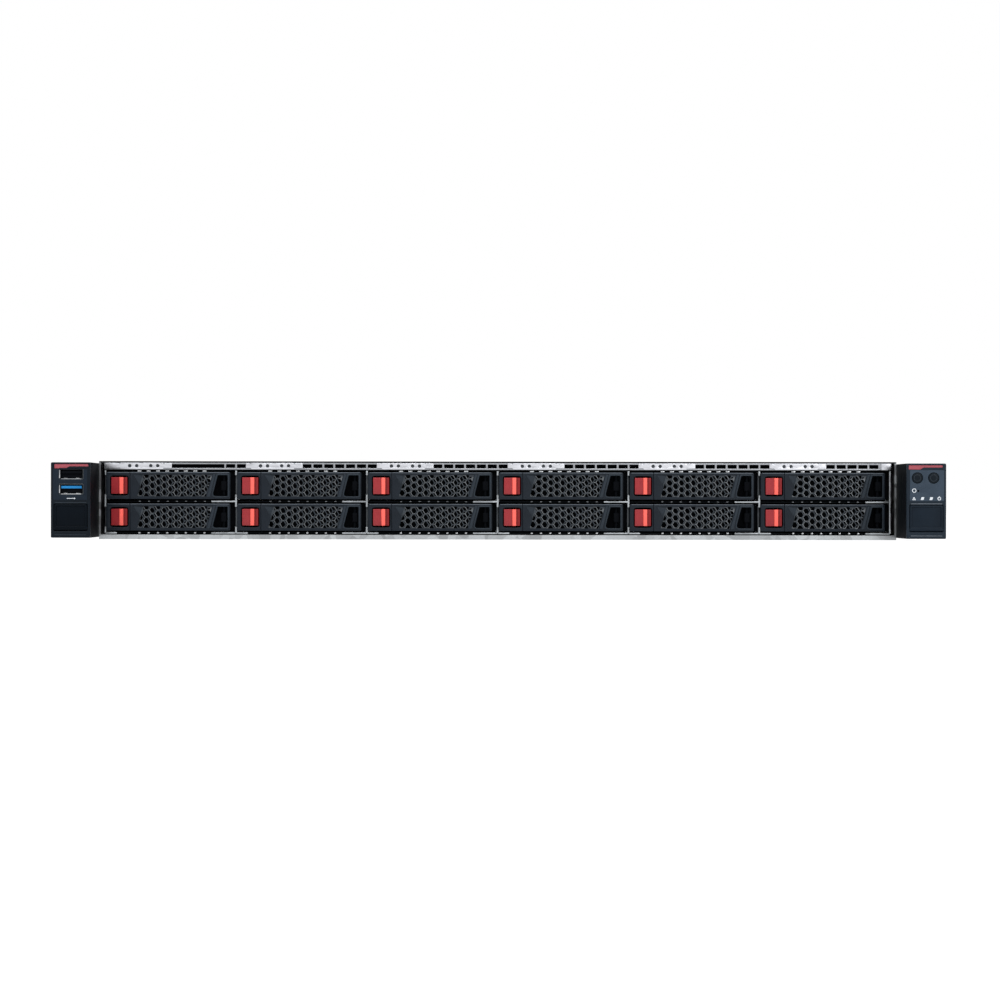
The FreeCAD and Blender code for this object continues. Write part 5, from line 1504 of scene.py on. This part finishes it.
@dataclass
class SupplyFace:
    """Inlet, vent and light on one power supply's rear face, over its CAD case."""

    number: int
    inlet: tuple[float, float, float] = (24.5, 17.0, 14.0)
    inlet_inset: float = 6.0
    rear: float = 722.0

    def build(self) -> None:
        """Make the pieces on the supply's face."""
        low, high = node_box("power_supply_%d" % self.number)
        middle = (low.z + high.z) / 2
        width, height, depth = self.inlet
        left = low.x + self.inlet_inset
        work = Workpiece()
        outline = rectangle((left + 0.02, left + width - 0.02),
                            (middle - height / 2 + 0.02, middle + height / 2 - 0.02))
        mouth = softened(rectangle((left + 1.6, left + width - 1.6), (middle - height / 2 + 1.6,
                                                                      middle + height / 2 - 1.6)),
                         [1.0, 1.0, 4.5, 4.5])
        work.plate(outline, [mouth], Plane.FRONT, (self.rear - depth + 1.0, self.rear + 0.6), Kit.CHIP, 0.3)
        work.plate(outline, [], Plane.FRONT, (self.rear - depth + 0.02, self.rear - depth + 1.2), Kit.DARK,
                   0.1)
        for x, z in ((left + 6.2, middle - 1.6), (left + width / 2, middle + 2.6),
                     (left + width - 6.2, middle - 1.6)):
            work.block((x - 1.0, x + 1.0), (self.rear - depth + 1.0, self.rear - 3.0), (z - 2.4, z + 2.4),
                       Kit.NICKEL,
                       0.3)
        vent_x = (left + width + 2.5, high.x - 8.5)
        vent_z = (low.z + 3.0, high.z - 3.0)
        columns = int((vent_x[1] - vent_x[0] - 4.0) / 3.6)
        holes = [disc(vent_x[0] + 3.0 + index * 3.6 + (1.8 if row % 2 else 0.0), vent_z[0] + 2.6 + row * 3.1,
                      1.5, 6)
                 for row in range(10) for index in range(columns)]
        work.plate(rectangle(vent_x, vent_z), holes, Plane.FRONT, (self.rear + 0.1, self.rear + 0.7),
                   Kit.CASE, 0.1)
        # black sheet behind the vent: painted shade seen through the holes
        work.plate(rectangle((vent_x[0] + 0.3, vent_x[1] - 0.3), (vent_z[0] + 0.3, vent_z[1] - 0.3)), [],
                   Plane.FRONT, (self.rear + 0.02, self.rear + 0.12), Kit.DARK, 0.02)
        light = Vector((left + 4.0, self.rear - 0.1, high.z - 4.0))
        work.rod(light, light + Vector((0, 0.8, 0)), 1.3, Kit.GLOW, 0.3, 24)
        name = "supply_face_%d" % self.number
        placed(name, work.mesh(name), "supply_%d" % self.number)
        log.info("face of power supply %d", self.number)


# ---- stage ----------------------------------------------------------------------
@dataclass
class Stage:
    """Pale floor, soft lamps and the camera in front of the ears."""

    distance: float = 1109.0
    lens: float = 74.1
    height: float = 21.8
    aim: float = 0.8
    across: float = -19.0
    roll: float = -0.0014
    world_level: float = 0.55
    ear_front: float = -33.0

    def floor(self) -> None:
        """Make the pale floor, which keeps the shadow and looks white."""
        shader = Shader("studio_floor")
        mottle = shader.noise(90.0, 3.0)
        shader.set(Base_Color=shader.mix(mottle, tone("F4F4F4"), tone("FAFAFA")), Roughness=0.9)
        tree = shader.tree
        glow = tree.nodes.new("ShaderNodeEmission")
        glow.inputs["Color"].default_value = (1.0, 1.0, 1.0, 1.0)
        glow.inputs["Strength"].default_value = 1.1
        path = tree.nodes.new("ShaderNodeLightPath")
        seen = Signal(tree, path.outputs["Is Camera Ray"]).math(
            "MAXIMUM", Signal(tree, path.outputs["Is Camera Ray"]), Signal(tree,
                                                                           path.outputs["Is Glossy Ray"]))
        mixer = tree.nodes.new("ShaderNodeMixShader")
        tree.links.new((seen * 0.86).socket, mixer.inputs[0])
        tree.links.new(shader.bsdf.outputs[0], mixer.inputs[1])
        tree.links.new(glow.outputs[0], mixer.inputs[2])
        tree.links.new(mixer.outputs[0], tree.nodes["Material Output"].inputs[0])
        data = bpy.data.meshes.new("floor")
        reach = 6.0
        data.from_pydata([(-reach, -reach, 0), (reach, -reach, 0), (reach, reach, 0), (-reach, reach, 0)], [],
                         [(0, 1, 2, 3)])
        data.materials.append(shader.material)
        piece = bpy.data.objects.new("floor", data)
        bpy.context.scene.collection.objects.link(piece)
        piece.location.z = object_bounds()[0][2] - 0.0003
        piece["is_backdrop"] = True

    def world(self) -> None:
        """Make the even pale surroundings, white where the camera sees them."""
        world = bpy.data.worlds.new("studio")
        bpy.context.scene.world = world
        world.use_nodes = True
        tree = world.node_tree
        back = tree.nodes["Background"]
        back.inputs["Color"].default_value = (1.0, 1.0, 1.0, 1.0)
        path = tree.nodes.new("ShaderNodeLightPath")
        level = Signal(tree, path.outputs["Is Camera Ray"]) * (1.0 - self.world_level) + self.world_level
        tree.links.new(level.socket, back.inputs["Strength"])

    def lamp(self, name: str, place: tuple[float, float, float], aim: tuple[float, float, float],
             size: tuple[float, float], power: float) -> None:
        """Add a rectangular soft lamp.

        Args:
            name: its name.
            place: where it stands, in metres.
            aim: what it points at, in metres.
            size: its width and height, in metres.
            power: its strength, in watts.
        """
        data = bpy.data.lights.new(name, "AREA")
        data.shape = "RECTANGLE"
        data.size, data.size_y = size
        data.energy = power
        piece = bpy.data.objects.new(name, data)
        bpy.context.scene.collection.objects.link(piece)
        piece.location = place
        piece.rotation_euler = (Vector(aim) - Vector(place)).to_track_quat("-Z", "Y").to_euler()

    def camera(self) -> None:
        """Add the level camera in front of the ears."""
        data = bpy.data.cameras.new("camera")
        data.lens = self.lens
        data.sensor_width = 36.0
        data.clip_start = 0.01
        piece = bpy.data.objects.new("camera", data)
        bpy.context.scene.collection.objects.link(piece)
        data.shift_x = (self.aim - self.across) * self.lens / (self.distance * data.sensor_width)
        piece.location = Vector((self.across, self.ear_front - self.distance, self.height)) * MM
        piece.rotation_euler = (math.radians(90), self.roll, 0)
        bpy.context.scene.camera = piece

    def build(self) -> None:
        """Set the stage."""
        scene = bpy.context.scene
        scene.view_settings.view_transform = "Standard"
        self.floor()
        self.world()
        self.lamp("key", (-0.5, -1.3, 1.5), (0, 0, 0), (1.6, 0.9), 26.0)
        self.lamp("fill", (1.1, -1.5, 0.9), (0, 0, 0), (1.2, 1.2), 12.0)
        self.lamp("top", (0.0, 0.4, 1.9), (0, 0.35, 0), (2.0, 1.4), 22.0)
        self.lamp("rear", (0.5, 2.4, 1.3), (0, 0.7, 0), (1.4, 1.0), 18.0)
        self.camera()
        log.info("floor, lamps and camera")


def main() -> None:
    """Build every piece in order."""
    logging.basicConfig(level=logging.INFO, format="%(name)s: %(message)s")
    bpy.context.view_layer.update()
    dress(Kit.SHEET, "chassis_base")
    dress(Kit.COVER, "top_cover")
    dress(Kit.LATCH, "cover_latch")
    dress(Kit.BOARD, "backplane")
    dress(Kit.FAN, "fan_housings", *["fan_rotor_%d" % i for i in range(1, 7)])
    dress(Kit.CASE, "power_supply_1", "power_supply_2")
    dress(Kit.TAB, "supply_latch_1", "supply_latch_2")
    Cage().build()
    Carrier().build()
    for side in Side:
        Ear(side).build()
    Mainboard().build()
    RearPanel().build()
    for number in (1, 2):
        SupplyFace(number).build()
    Stage().build()


if __name__ == "__main__":
    main()
